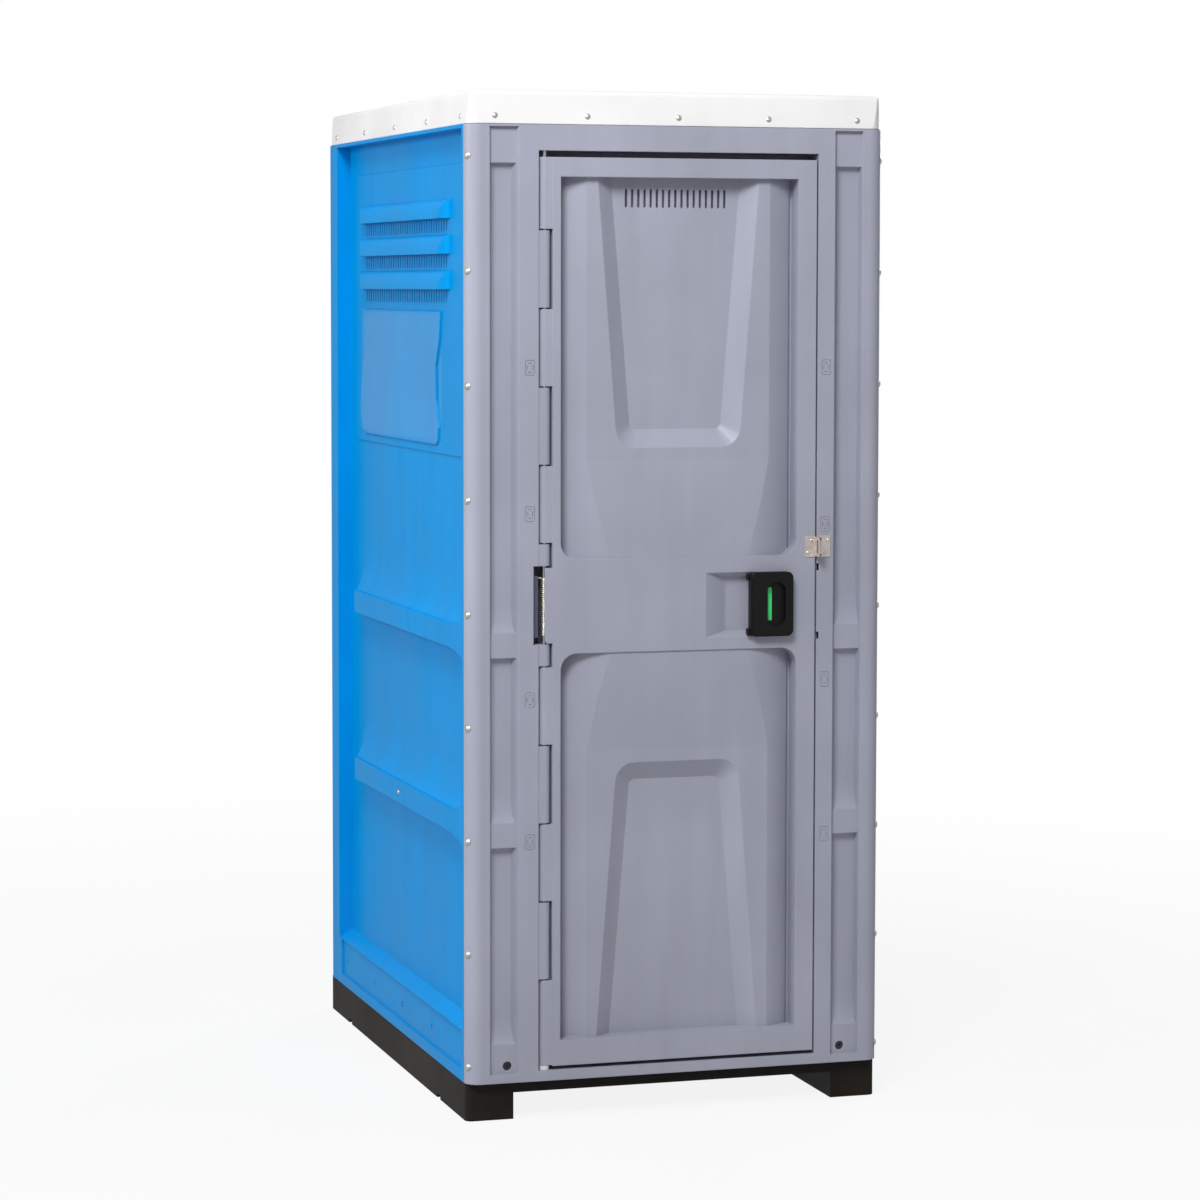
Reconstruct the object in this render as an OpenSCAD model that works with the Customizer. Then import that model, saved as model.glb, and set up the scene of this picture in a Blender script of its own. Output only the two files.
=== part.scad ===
// Portable shower cabin: a moulded cabin on a two-skid base, with one hinged door and the shower inside.
// Millimetres. Origin: centre of the footprint at the ground. The door faces -Y and hinges at -X.

/* [Cabin] */
// Outside width across the side walls
body_w = 980; // [960:10:1060]
// Outside depth, front face to back face
body_d = 1380; // [1320:10:1460]
// Height from the ground to the roof's top
total_h = 2300; // [2260:5:2360]
// Thickness of the moulded sheets
wall_t = 5; // [4:0.5:6]
// Depth of the bays pressed into the walls
bay_depth = 35; // [28:1:38]
// Radius of the four upright corners
corner_r = 33; // [30:1:36]

/* [Base] */
// Height of the base, ground to deck
base_h = 86; // [82:1:95]
// Height of the skids under the deck
skid_h = 60; // [54:1:64]
// Width of each skid
skid_w = 109; // [90:1:125]
// How far the base stands back from the front face
base_setback = 20; // [10:1:25]

/* [Walls] */
// Height of the lower ledge band's top line
ledge_low = 688; // [660:1:700]
// Height of the upper ledge band's top line
ledge_high = 1107; // [1090:1:1120]
// Height of a ledge band's upright face
ledge_face = 54; // [40:1:60]
// Height of the curved sweep above a ledge
ledge_sweep = 110; // [80:1:120]
// Height of the skirt above the deck
skirt_h = 114; // [108:1:122]
// Width of the rear corner post
rear_post = 105; // [90:1:120]
// Drop from the roof's rim to the lowest louvre's lip
louvre_drop = 364; // [350:1:380]
// Distance from one louvre to the next
louvre_pitch = 80.5; // [76:0.5:84]
// Width of a slot under a louvre
louvre_slot_w = 6; // [4:0.5:9]
// Distance from one slot to the next
louvre_slot_pitch = 23; // [20:0.5:23.5]

/* [Roof] */
// Height of the roof's rim band
rim_h = 79; // [74:1:86]
// Inset of the rim's foot from the wall face
rim_inset = 4; // [3:0.5:5]
// Further inset of the rim's top, from its draft
rim_draft = 6; // [4:0.5:8]

/* [Front frame] */
// Left edge of the doorway, from the centre
open_left = 326; // [320:1:330]
// Right edge of the doorway, from the centre
open_right = 331; // [325:1:335]
// Height of the doorway's sill above the deck
sill_h = 24; // [22:1:28]
// Height of the head rail above the doorway
head_h = 58; // [50:1:70]
// Width of the channels beside the doorway, at the face
chan_w = 67; // [62:1:69]
// Slant of a channel's side next to the doorway
chan_draft = 14; // [10:1:18]
// Depth of the channels beside the doorway
chan_depth = 25; // [20:1:27]
// How far the channels' blocks stand back from the face
block_drop = 9; // [6:1:11]

/* [Door] */
// Thickness of the door
door_t = 64; // [62:1:68]
// Thickness of the door's inner skin
skin_t = 6; // [4:0.5:7]
// Depth of the door panels' deep edges
panel_depth = 48; // [44:1:50]

/* [Hinge] */
// Radius of the hinge rod
rod_r = 5; // [4:0.5:6]
// Radius of the hinge knuckles
knuckle_r = 13; // [12:0.5:14]
// Gap between neighbouring knuckles
knuckle_gap = 3; // [2:0.5:4]
// Running clearance of the knuckles on the rod
rod_clear = 0.08; // [0.04:0.01:0.1]
// Turns of the closing spring
spring_turns = 30; // [24:1:32]
// Distance from one turn of the spring to the next
spring_pitch = 4.3; // [4:0.1:4.6]
// Radius of the spring's wire
wire_r = 1.7; // [1.4:0.1:1.8]

/* [Lock] */
// Height of the bolt's centre line
lock_z = 1148; // [1140:1:1156]
// Travel of the sliding bolt
bolt_travel = 16; // [14:0.5:17]
// Clearance around the sliding bolt
bolt_clear = 0.4; // [0.3:0.05:0.6]

/* [Shower] */
// Height of the mixer bar
mixer_z = 975; // [960:1:985]
// Radius of the riser pipe
riser_r = 11; // [9:0.5:12]
// Radius of the shower head
head_r = 100; // [90:1:120]
// Radius of the drain grate
grate_r = 44.7; // [42:0.1:46]
// Radius of the waste pipe
waste_r = 20; // [18:0.5:21]
// Radius of the water inlets' threaded ends
inlet_r = 10.48; // [10:0.02:11]

/* [Hidden] */
$fn = 32;
e = 0.5;
hx = body_w / 2;
yf = -body_d / 2;
yb = body_d / 2;
rim_z = total_h - rim_h;
post_cx = hx - corner_r;
post_cy = body_d / 2 - corner_r;
// walls
skirt_top = base_h + skirt_h;
lip_top = base_h + 26;
lip_inset = 5;
bay_front = yf + 50;
bay_rear = yb - rear_post;
bay_top = rim_z - 9;
ledge_end = yb - 283;
louvre_low = rim_z - louvre_drop;
louvre_half = body_d / 2 - 263;
flange_top = rim_z + 34;
flange_inset = rim_inset + 7;
bay_inner = bay_depth + wall_t;
wrap_x = hx - 108;
// front frame
open_low = base_h + sill_h;
open_high = rim_z - head_h;
stop_y0 = yf + door_t + 4;
stop_y1 = stop_y0 + 6;
chan_out = hx - 52;
chan_in = chan_out - chan_w;
chan_sweep = 70;
blocks = [[base_h + 20, base_h + 86], [ledge_low - 73, ledge_low - 17],
    [ledge_high - 67, ledge_high - 11], [rim_z - 86, rim_z]];
anchor_x = (chan_in + chan_out) / 2;
anchor_z = base_h + 37;
// hinge and door
knuckle_run = 3;
hinge_x = -open_left + knuckle_r + knuckle_run;
hinge_y = yf + knuckle_r + 1;
door_l = hinge_x + knuckle_r + knuckle_run;
door_r = open_right - 4;
door_low = open_low + 8.5;
door_high = open_high - 14;
door_back = yf + door_t;
skin_y = door_back - skin_t;
spring_r = rod_r + wire_r + 0.9;
window_low = (open_low + open_high) / 2 - 67.5;
spring_z0 = window_low + 19;
spring_z1 = spring_z0 + spring_turns * spring_pitch;
window_high = spring_z1 + 27;
short_knuckle = 50;
pitch_low = (window_low - short_knuckle - door_low - 20) / 5;
pitch_high = (open_high - window_high - short_knuckle) / 5;
splits_low = [for (i = [4 : -1 : 0]) window_low - short_knuckle - i * pitch_low];
splits_high = [for (i = [0 : 4]) window_high + short_knuckle + i * pitch_high];
g = knuckle_gap / 2;
door_knuckles = [
    [door_low + 2.5, splits_low[0] - g],
    [splits_low[1] + g, splits_low[2] - g],
    [splits_low[3] + g, splits_low[4] - g],
    [splits_high[0] + g, splits_high[1] - g],
    [splits_high[2] + g, splits_high[3] - g],
    [splits_high[4] + g, door_high]
];
frame_knuckles = [
    [splits_low[0] + g, splits_low[1] - g],
    [splits_low[2] + g, splits_low[3] - g],
    [splits_low[4] + g, window_low],
    [window_high, splits_high[0] - g],
    [splits_high[1] + g, splits_high[2] - g],
    [splits_high[3] + g, splits_high[4] - g]
];
// door panels
panel_x0 = door_l + 19;
panel_x1 = door_r - 44;
panel_xc = (panel_x0 + panel_x1) / 2;
field_half = (panel_x1 - panel_x0) / 2 - 9;
crest_half = field_half - 120;
crest = 14;
deep = panel_depth - 8;
hollow_y = yf + panel_depth - 2;
up_z0 = lock_z + 109;
up_z1 = door_high - 43;
lo_z0 = door_low + 58.5;
lo_z1 = lock_z - 101;
ramp = 223;
u_tip = 24;
u_top_half = 144;
u_floor_half = 106.6;
band_z0 = lo_z1 + 14;
band_z1 = up_z0 - 14;
vent_top = up_z1 - 25;
vent_h = 41;
field_y = door_back - 2;
// lock
lock_x = door_r - 109;
bolt_y0 = yf + 30;
bolt_y1 = yf + 42;
bolt_half = 12;
bolt_end = door_r - 1.5;
plate_y = yf - 1.5;
room_y = yf - 7;
// hasp
hasp_z = lock_z + 128;
hasp_door_spots = [[door_r - 19, hasp_z - 14], [door_r - 9, hasp_z + 14]];
hasp_frame_spots = [[open_right + 18, hasp_z - 14], [open_right + 27, hasp_z + 14]];
// fasteners
rivet_n = 9;
rivet_low = base_h + 38;
rivet_pitch = (rim_z - 70.6 - rivet_low) / (rivet_n - 1);
rivet_hole = 2.5;
rivet_head = 8.5;
back_rivet_x = hx - 85;
skirt_screw_z = base_h + 65;
skirt_screw_y0 = yf + 59;
skirt_screw_pitch = (body_d - 244) / 4;
roof_rivet_z = rim_z + 18;
roof_lean = rim_inset + rim_draft * 18 / (rim_h - 14);
roof_tilt = atan(rim_draft / (rim_h - 14));
roof_front_pitch = (body_w - 130) / 4;
roof_side_pitch = (body_d - 156) / 4;
clip_x_left = -open_left - 20;
clip_x_right = open_right + 21;
clip_spots = [
    [clip_x_left, lock_z + 536], [clip_x_left, lock_z + 212],
    [clip_x_left, lock_z - 203], [clip_x_left, lock_z - 521],
    [clip_x_right, lock_z + 534], [clip_x_right, lock_z + 178],
    [clip_x_right, lock_z - 176], [clip_x_right, lock_z - 532]
];
// tray and waste
tray_x = hx - lip_inset - wall_t;
tray_y1 = yb - lip_inset - wall_t;
tray_floor = base_h + 15;
tray_high = base_h + 104;
drain_y = 150;
drain_r = grate_r - 0.7;
waste_z = waste_r + 14;
// shower
wall_y = yb - bay_inner;
mixer_y = wall_y - 50;
inlet_x = 75;
pipe_r = inlet_r - 1;
bar_half = 105;
spindle_r = 8;
shelf_z = (ledge_high + louvre_low) / 2 - 182;
arm_z = rim_z - 181;
bend = 40;
arm_len = 220;
head_y = mixer_y - 2 * bend - arm_len;
ball_r = 11;
ball_z = arm_z - 62;

// Helpers

// a box from one corner to the other
module span(a, b) {
    translate(a)
        cube(b - a);
}

// a drawing in Y and Z, pushed along X
module along_x(x0, x1) {
    translate([x0, 0, 0])
        rotate([90, 0, 90])
            linear_extrude(x1 - x0)
                children();
}

// a drawing in X and Z, pushed along Y
module along_y(y0, y1) {
    translate([0, y1, 0])
        rotate([90, 0, 0])
            linear_extrude(y1 - y0)
                children();
}

// a drawing in X and Y, pushed along Z
module along_z(z0, z1) {
    translate([0, 0, z0])
        linear_extrude(z1 - z0)
            children();
}

// a rounded rectangle from one corner to the other
module round_rect(a, b, r) {
    translate([a[0] + r, a[1]])
        square([b[0] - a[0] - 2 * r, b[1] - a[1]]);
    translate([a[0], a[1] + r])
        square([b[0] - a[0], b[1] - a[1] - 2 * r]);
    for (x = [a[0] + r, b[0] - r], y = [a[1] + r, b[1] - r])
        translate([x, y])
            circle(r);
}

// a straight rod along X, Y or Z
module rod_x(x0, x1, r) {
    translate([x0, 0, 0])
        rotate([0, 90, 0])
            cylinder(h = x1 - x0, r = r);
}

module rod_y(y0, y1, r) {
    translate([0, y1, 0])
        rotate([90, 0, 0])
            cylinder(h = y1 - y0, r = r);
}

module rod_z(z0, z1, r) {
    translate([0, 0, z0])
        cylinder(h = z1 - z0, r = r);
}

// a domed rivet head on +Z, with its pin hole
module dome(r, h) {
    ball = (r * r + h * h) / (2 * h);
    difference() {
        intersection() {
            translate([0, 0, h - ball])
                sphere(ball, $fn = 48);
            cylinder(h = h + 1, r = r);
        }
        translate([0, 0, h - 1])
            cylinder(h = 2, r = r * 0.22);
    }
}

// points of a concave sweep, from a ledge's top line at height z back to depth d
function sweep(d, high, z, n = 8) =
    [for (i = [0 : n]) [d * sin(90 * i / n), z + high * (1 - cos(90 * i / n))]];

// points of a fillet from (0, high) to (len, 0)
function ease(len, high, n = 6) =
    [for (i = [0 : n]) [len * (1 - cos(90 * i / n)), high * (1 - sin(90 * i / n))]];

// Wall mouldings, drawn with the outer face at X = 0 and depth along +X.
// Each sheet is its outer shape less the same shape taken d deeper, so d is 0 or the sheet's thickness.

// what is cut from the slab: the bays, less the ledge bands and louvres that stand in them
module bay_cut(d, y0, y1, y_ledge, louvres) {
    difference() {
        union() {
            along_y(y0 - d, y1 + d)
                polygon([[-1, skirt_top - d], [d, skirt_top - d], [bay_depth + d, skirt_top + 22 - d],
                    [bay_depth + d, bay_top + d], [-1, bay_top + d]]);
            span([-1, y0 + 5 - d, lip_top - d], [lip_inset + d, y1 - 25 + d, skirt_top]);
        }
        for (z = [ledge_low, ledge_high])
            ledge(d, y0, y_ledge, z);
        if (louvres)
            louvre_field(d);
    }
}

// one band: undercut below, upright face, sweep above; bevelled at y1, eased into the post at y0
module ledge(d, y0, y1, z) {
    back = bay_depth + d + 2;
    intersection() {
        along_y(y0 - 60, y1 + 60)
            polygon(concat([[back, z - ledge_face - 14 + d], [d, z - ledge_face + d]],
                [for (p = sweep(bay_depth, ledge_sweep, z - d)) [p[0] + d, p[1]]],
                [[back, z + ledge_sweep - d]]));
        along_z(z - 100, z + ledge_sweep + 40)
            polygon([[-3, y0 - 60], [back + 1, y0 - 60], [back + 1, y1 + 36 - d], [d, y1 - d],
                [-3, y1 - d]]);
    }
    for (k = [0, 1])
        along_x(d, back)
            translate([y0 - d - 0.01, k == 0 ? z - d : z - ledge_face + d])
                mirror([0, k, 0])
                    polygon(concat([[0, 0]], ease(150, 28 - 8 * k)));
}

// plan of a louvre hood's rounded end
function hood_end(d, side) =
    [for (a = [0 : 11.25 : 90])
        [bay_depth - 1 + d - 22 * sin(a), side * (louvre_half - d - 60 * (1 - cos(a)))]];

// the raised field near a side wall's top, with three louvre hoods and the smooth pad below them
module louvre_field(d) {
    back = bay_depth + 6;
    along_x(bay_depth - 2.5 + d, bay_depth + d + 1)
        round_rect([yf + 130 + d, louvre_low - 377 + d], [yb - 170 - d, rim_z - 81 - d], 40);
    for (i = [0 : 2])
        translate([0, 4, louvre_low + i * louvre_pitch])
            intersection() {
                along_y(-louvre_half - 9, louvre_half + 9)
                    polygon(concat([[back, d], [bay_depth - 23 + d, d]],
                        [for (a = [10 : 10 : 80])
                            [bay_depth - 3 + d - 20 * cos(a), d + (44 - 2 * d) * sin(a)]],
                        [[bay_depth - 2 + d, 44 - d], [back, 44 - d]]));
                along_z(-1, 45)
                    polygon(concat([[back, louvre_half - d], [back, d - louvre_half]], hood_end(d, -1),
                        [for (k = [8 : -1 : 0]) hood_end(d, 1)[k]]));
            }
    // the pad in three layers; each point's last two numbers are the way it moves when the outline shrinks
    for (k = [0 : 2])
        along_x(bay_depth - 6.5 + d + k * 1.3, bay_depth + d)
            translate([0, louvre_low - 51])
                polygon([for (p = [[-345, 0, 1, -1], [-330, -66, 1, 0], [-297, -126, 1, 0],
                [-302, -206, 1, 0], [-322, -266, 1, 0], [-316, -298, 1, 1], [-296, -306, 1, 1],
                [400, -306, -1, 1], [440, -291, -1, 1], [461, -249, -1, 0], [442, -166, -1, 0],
                [416, -106, -1, 0], [400, -46, -1, 0], [394, 0, -1, -1]])
                    [p[0] + p[2] * (d - k * 1.6), p[1] + p[3] * (d - k * 1.6)]]);
}

// plan of a side wall, d inside its outer face: the long side, the rear corner and the wrap behind it
module side_plan(d) {
    translate([-hx + d, -post_cy + 1])
        square([50 - d, post_cy * 2 - 1]);
    translate([-post_cx, post_cy])
        intersection() {
            circle(corner_r - d);
            translate([-60, 0])
                square([60, 60]);
        }
    translate([-post_cx, yb - 50])
        square([post_cx - wrap_x + (d == wall_t ? 1 : 0), 50 - d]);
}

module side_solid(d) {
    difference() {
        along_z(base_h - d, rim_z - 1 + d)
            side_plan(d);
        translate([-hx, 0, 0])
            bay_cut(d, bay_front, bay_rear, ledge_end, true);
    }
}

// the shelf under the roof's rim and the upright flange inside the rim; the children are the plan
// at the outer face, at the flange's outer face and at its inner face
module rim_flange() {
    along_z(rim_z - 6, rim_z - 1)
        difference() {
            children(0);
            children(2);
        }
    along_z(rim_z - 2, flange_top)
        difference() {
            children(1);
            children(2);
        }
}

module left_shell() {
    difference() {
        union() {
            difference() {
                side_solid(0);
                side_solid(wall_t);
            }
            rim_flange() {
                side_plan(0);
                side_plan(flange_inset);
                side_plan(flange_inset + wall_t);
            }
            // joggle and curved flange behind the front post
            span([-hx + wall_t, -post_cy, base_h], [-hx + wall_t + 4, bay_front - 1, rim_z - 1]);
            along_z(base_h, rim_z - 6)
                translate([-post_cx, -post_cy])
                    intersection() {
                        difference() {
                            circle(corner_r - wall_t);
                            circle(corner_r - wall_t - 4);
                        }
                        polygon([[0, 0], [-60, 0], [-60, -60], [-24, -60]]);
                    }
        }
        // slots under the louvre hoods
        for (i = [0 : 2], k = [-17 : 17])
            translate([0, 4 + k * louvre_slot_pitch, louvre_low + i * louvre_pitch])
                span([-hx + bay_depth - 17, -louvre_slot_w / 2, -30],
                    [-hx + bay_inner + 10, louvre_slot_w / 2, wall_t + 0.6]);
        skirt_holes();
        corner_holes();
        translate([0, -49, ledge_low - 28])
            rod_x(-hx - 1, -hx + 10, rivet_hole);
        back_rivet_at(-1)
            rod_z(-20, 5, rivet_hole);
        roof_holes();
    }
}

module skirt_screw_at() {
    for (k = [0 : 4])
        translate([-hx, skirt_screw_y0 + k * skirt_screw_pitch, skirt_screw_z])
            children();
}

module skirt_holes() {
    skirt_screw_at() {
        rod_x(-1, 20, rivet_hole);
        rod_x(-1, lip_inset + 2.5, 6.5);
    }
}

// places of the front corner rivets, Z out of the post
module corner_at(side) {
    for (i = [0 : rivet_n - 1])
        translate([side * post_cx, -post_cy, rivet_low + i * rivet_pitch])
            rotate([0, 0, side < 0 ? 210 : -30])
                rotate([0, 90, 0])
                    children();
}

module corner_holes() {
    for (s = [-1, 1])
        corner_at(s)
            rod_z(15, corner_r + 5, rivet_hole);
}

// places of the rear rivets, Z out of the back
module back_rivet_at(side) {
    for (i = [0 : rivet_n - 1])
        translate([side * back_rivet_x, yb, rivet_low + i * rivet_pitch])
            rotate([-90, 0, 0])
                children();
}

// places of the roof's rivets, Z square to the rim's leaning face
module roof_rivet_at() {
    for (k = [-2 : 2], s = [-1, 1]) {
        translate([k * roof_front_pitch, s * (yb - roof_lean), roof_rivet_z])
            rotate([-s * (90 - roof_tilt), 0, 0])
                children();
        translate([s * (hx - roof_lean), k * roof_side_pitch, roof_rivet_z])
            rotate([0, s * (90 - roof_tilt), 0])
                children();
    }
}

module roof_holes() {
    roof_rivet_at()
        rod_z(-14, 5, 2);
}

module left_wall() {
    color([0.05, 0.55, 0.88])
        left_shell();
}

module right_wall() {
    color([0.05, 0.55, 0.88])
        mirror([1, 0, 0])
            left_shell();
}

// plan of the back panel: flush between the wraps, stepped in behind them
module back_plan(d) {
    edge = wrap_x - 4 - d;
    translate([-wrap_x - 48, yb - 50])
        square([2 * wrap_x + 96, 50 - wall_t - d]);
    translate([-edge, yb - 50])
        square([2 * edge, 50 - d]);
}

module back_solid(d) {
    side = wrap_x - 52;
    difference() {
        along_z(base_h - d, rim_z - 1 + d)
            back_plan(d);
        translate([0, yb, 0])
            rotate([0, 0, -90])
                intersection() {
                    bay_cut(d, -side, side, side + 90, false);
                    mirror([0, 1, 0])
                        bay_cut(d, -side, side, side + 90, false);
                }
    }
}

module back_wall() {
    edge = wrap_x - 7;
    tongue = wrap_x - 4;
    color([0.05, 0.55, 0.88])
        difference() {
            union() {
                difference() {
                    back_solid(0);
                    back_solid(wall_t);
                }
                rim_flange() {
                    back_plan(0);
                    translate([-edge, yb - 30])
                        square([2 * edge, 30 - flange_inset]);
                    translate([-600, yb - 60])
                        square([1200, 60 - flange_inset - wall_t]);
                }
            }
            // the tongues stop under the side walls' rim shelves
            for (x = [-hx, tongue])
                span([x, yb - 60, rim_z - 6.3], [x + hx - tongue, yb + 1, flange_top + 1]);
            for (s = [-1, 1]) {
                back_rivet_at(s)
                    rod_z(-20, 5, rivet_hole);
                translate([s * inlet_x, 0, mixer_z])
                    rod_y(yb - 60, yb + 5, inlet_r + 0.5);
            }
            roof_holes();
        }
}

// Base

module base_pallet() {
    bx = hx - 2;
    y0 = yf + base_setback;
    y1 = yb - 2;
    pocket_w = (2 * (bx - skid_w) - 16) / 7;
    pocket_d = (y1 - y0 - 32) / 13;
    skid_pitch = (y1 - y0 - 38) / 11;
    color([0.12, 0.1, 0.09])
        difference() {
            along_z(0, base_h)
                round_rect([-bx, y0], [bx, y1], 16);
            span([skid_w - bx, y0 - 1, -1], [bx - skid_w, y1 + 1, skid_h]);
            // strap notches under the skids
            for (s = [-1, 1], y = [yf + 268, yb - 219])
                translate([s * (bx - 10), y, 0])
                    span([-12, -14, -1], [12, 14, 9]);
            // waffle pockets under the deck, left out round the waste
            for (i = [-3 : 3], j = [-6 : 6])
                if (abs(i) > 0 || j < 0)
                    translate([i * pocket_w, (y0 + y1) / 2 + j * pocket_d, 0])
                        span([-pocket_w / 2 + 6, -pocket_d / 2 + 7, skid_h - 1],
                            [pocket_w / 2 - 6, pocket_d / 2 - 7, base_h - 9]);
            // pockets in the skids, open below
            for (s = [-1, 1], j = [[-5.3, -4.7], [-3.3, -0.7], [0.7, 3.3], [4.7, 5.3]])
                translate([s * (bx - skid_w / 2), (y0 + y1) / 2, 0])
                    span([-skid_w / 2 + 18, j[0] * skid_pitch, -1],
                        [skid_w / 2 - 18, j[1] * skid_pitch, skid_h - 12]);
            translate([0, drain_y, 0])
                rod_z(skid_h - 1, base_h + 1, drain_r + 12);
            for (s = [-1, 1])
                translate([s * anchor_x, yf + 58, 0])
                    rod_z(base_h - 20, base_h + 1, 4);
        }
}

// Shower tray and waste

module tray_plan(d) {
    difference() {
        round_rect([-tray_x + d, stop_y1 - 60], [tray_x - d, tray_y1 - d], 24 - d);
        translate([-hx, stop_y1 - 200])
            square([2 * hx, 200 + d]);
    }
}

module shower_tray() {
    color([0.86, 0.87, 0.87])
        difference() {
            union() {
                along_z(base_h, tray_high)
                    difference() {
                        tray_plan(0);
                        tray_plan(5);
                    }
                along_z(tray_floor - 5, tray_floor)
                    tray_plan(0);
                // bearers under the floor
                for (x = [-300, -150, 150, 300])
                    span([x - 3, stop_y1 + 4, base_h], [x + 3, tray_y1 - 4, tray_floor - 4]);
                // tread bars
                for (k = [-9 : 9])
                    if (abs(k * 55 + 40 - drain_y) > drain_r + 16)
                        span([-tray_x + 150, k * 55 + 36, tray_floor - 1],
                            [tray_x - 150, k * 55 + 44, tray_floor + 1.5]);
            }
            // low front edge at the doorway
            span([-open_left - 4, stop_y1 - 1, open_low - 3],
                [open_right + 4, stop_y1 + 6, tray_high + 1]);
            translate([0, drain_y, 0]) {
                rod_z(tray_floor - 6, tray_floor + 1, drain_r - 6);
                rod_z(tray_floor - 3, tray_floor + 2, grate_r + 0.3);
            }
            skirt_holes();
            mirror([1, 0, 0])
                skirt_holes();
        }
}

module drain_grate() {
    color([0.75, 0.76, 0.78])
        translate([0, drain_y, tray_floor - 3])
            difference() {
                cylinder(h = 3, r = grate_r);
                for (k = [0 : 3], i = [0 : max(0, k * 6 - 1)])
                    rotate([0, 0, k == 0 ? 0 : i * 60 / k])
                        translate([k * 11, 0, -1])
                            cylinder(h = 5, r = 2.6);
            }
}

module drain_body() {
    color([0.85, 0.85, 0.84])
        translate([0, drain_y, 0])
            difference() {
                union() {
                    rod_z(tray_floor - 8, tray_floor - 5, drain_r + 10);
                    rod_z(10, tray_floor - 6, drain_r);
                    translate([0, 0, waste_z])
                        rod_y(0, drain_r + 34, waste_r + 3);
                }
                rod_z(13, tray_floor, drain_r - 4);
                translate([0, 0, waste_z]) {
                    rod_y(0, drain_r + 16, waste_r - 4);
                    rod_y(drain_r + 11, drain_r + 35, waste_r);
                }
            }
}

module waste_pipe() {
    color([0.55, 0.56, 0.57])
        translate([0, 0, waste_z])
            difference() {
                union() {
                    rod_y(drain_y + drain_r + 11, yb + 30, waste_r);
                    rod_y(yb - 22, yb + 2, waste_r + 4);
                }
                rod_y(drain_y + drain_r + 10, yb + 31, waste_r - 3);
            }
}

// Front frame

// plan of one stile; k is the doorway's edge
module stile_plan(k) {
    difference() {
        union() {
            translate([-post_cx, yf])
                square([post_cx - k, chan_depth + 25]);
            translate([-post_cx, -post_cy])
                intersection() {
                    circle(corner_r);
                    translate([-60, -60])
                        square([60, 60]);
                }
            translate([-k - wall_t, yf])
                square([wall_t, stop_y1 - yf]);
        }
        // hollows behind the jamb, the channel and the corner post
        translate([-chan_in + wall_t, yf + wall_t])
            square([chan_in - k - 2 * wall_t, 80]);
        translate([-chan_out, yf + chan_depth + wall_t])
            square([chan_w, 60]);
        translate([-post_cx, -post_cy])
            intersection() {
                circle(corner_r - wall_t);
                translate([-60, -60])
                    square([60, 120]);
            }
        translate([-post_cx - 1, yf + wall_t])
            square([post_cx - chan_out - wall_t + 1, 80]);
    }
}

// depth of the channel from its lowest block up: each block's face, the sweep above it and the cove below the next
channel_line = [for (i = [0 : len(blocks) - 1])
    each concat([[block_drop, blocks[i][0]]],
        i == len(blocks) - 1 ? [[block_drop, rim_z + 1]] : concat(
            [for (p = sweep(chan_depth - block_drop, chan_sweep, blocks[i][1])) [block_drop + p[0], p[1]]],
            [for (a = [0 : 18 : 90])
                [chan_depth - 6 * (1 - cos(a)), blocks[i + 1][0] - 50 * (1 - sin(a))]]))];

module channel_cuts() {
    intersection() {
        along_x(-chan_out - 1, -chan_in + 1)
            translate([yf, 0])
                polygon(concat([[-1, rim_z + 1], [-1, blocks[0][0]]], channel_line));
        along_z(base_h, rim_z + 1)
            polygon([[-chan_out, yf - 2], [-chan_out, yf], [-chan_out + 3, yf + chan_depth + 1],
                [-chan_in - chan_draft, yf + chan_depth + 1], [-chan_in, yf], [-chan_in, yf - 2]]);
    }
}

module stile(k) {
    difference() {
        along_z(base_h, rim_z - 1)
            stile_plan(k);
        channel_cuts();
        // counterbored bolt in the foot block
        translate([-anchor_x + 8, 0, anchor_z]) {
            rod_y(yf - 1, yf + block_drop + 11, 10);
            rod_y(yf, yf + 60, 4);
        }
    }
}

module knuckle(z, to_x) {
    translate([hinge_x, hinge_y, 0])
        difference() {
            union() {
                rod_z(z[0], z[1], knuckle_r);
                span([min(0, to_x), -knuckle_r, z[0]], [max(0, to_x), knuckle_r, z[1]]);
            }
            rod_z(z[0] - 1, z[1] + 1, rod_r + rod_clear);
        }
}

// plan of the frame's top, d inside its outer face
module head_plan(d) {
    translate([-post_cx, yf + d])
        square([post_cx * 2, corner_r - d]);
    for (s = [-1, 1])
        translate([s * post_cx, -post_cy])
            intersection() {
                circle(corner_r - d);
                translate([s < 0 ? -60 : 0, -60])
                    square([60, 60]);
            }
}

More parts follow.
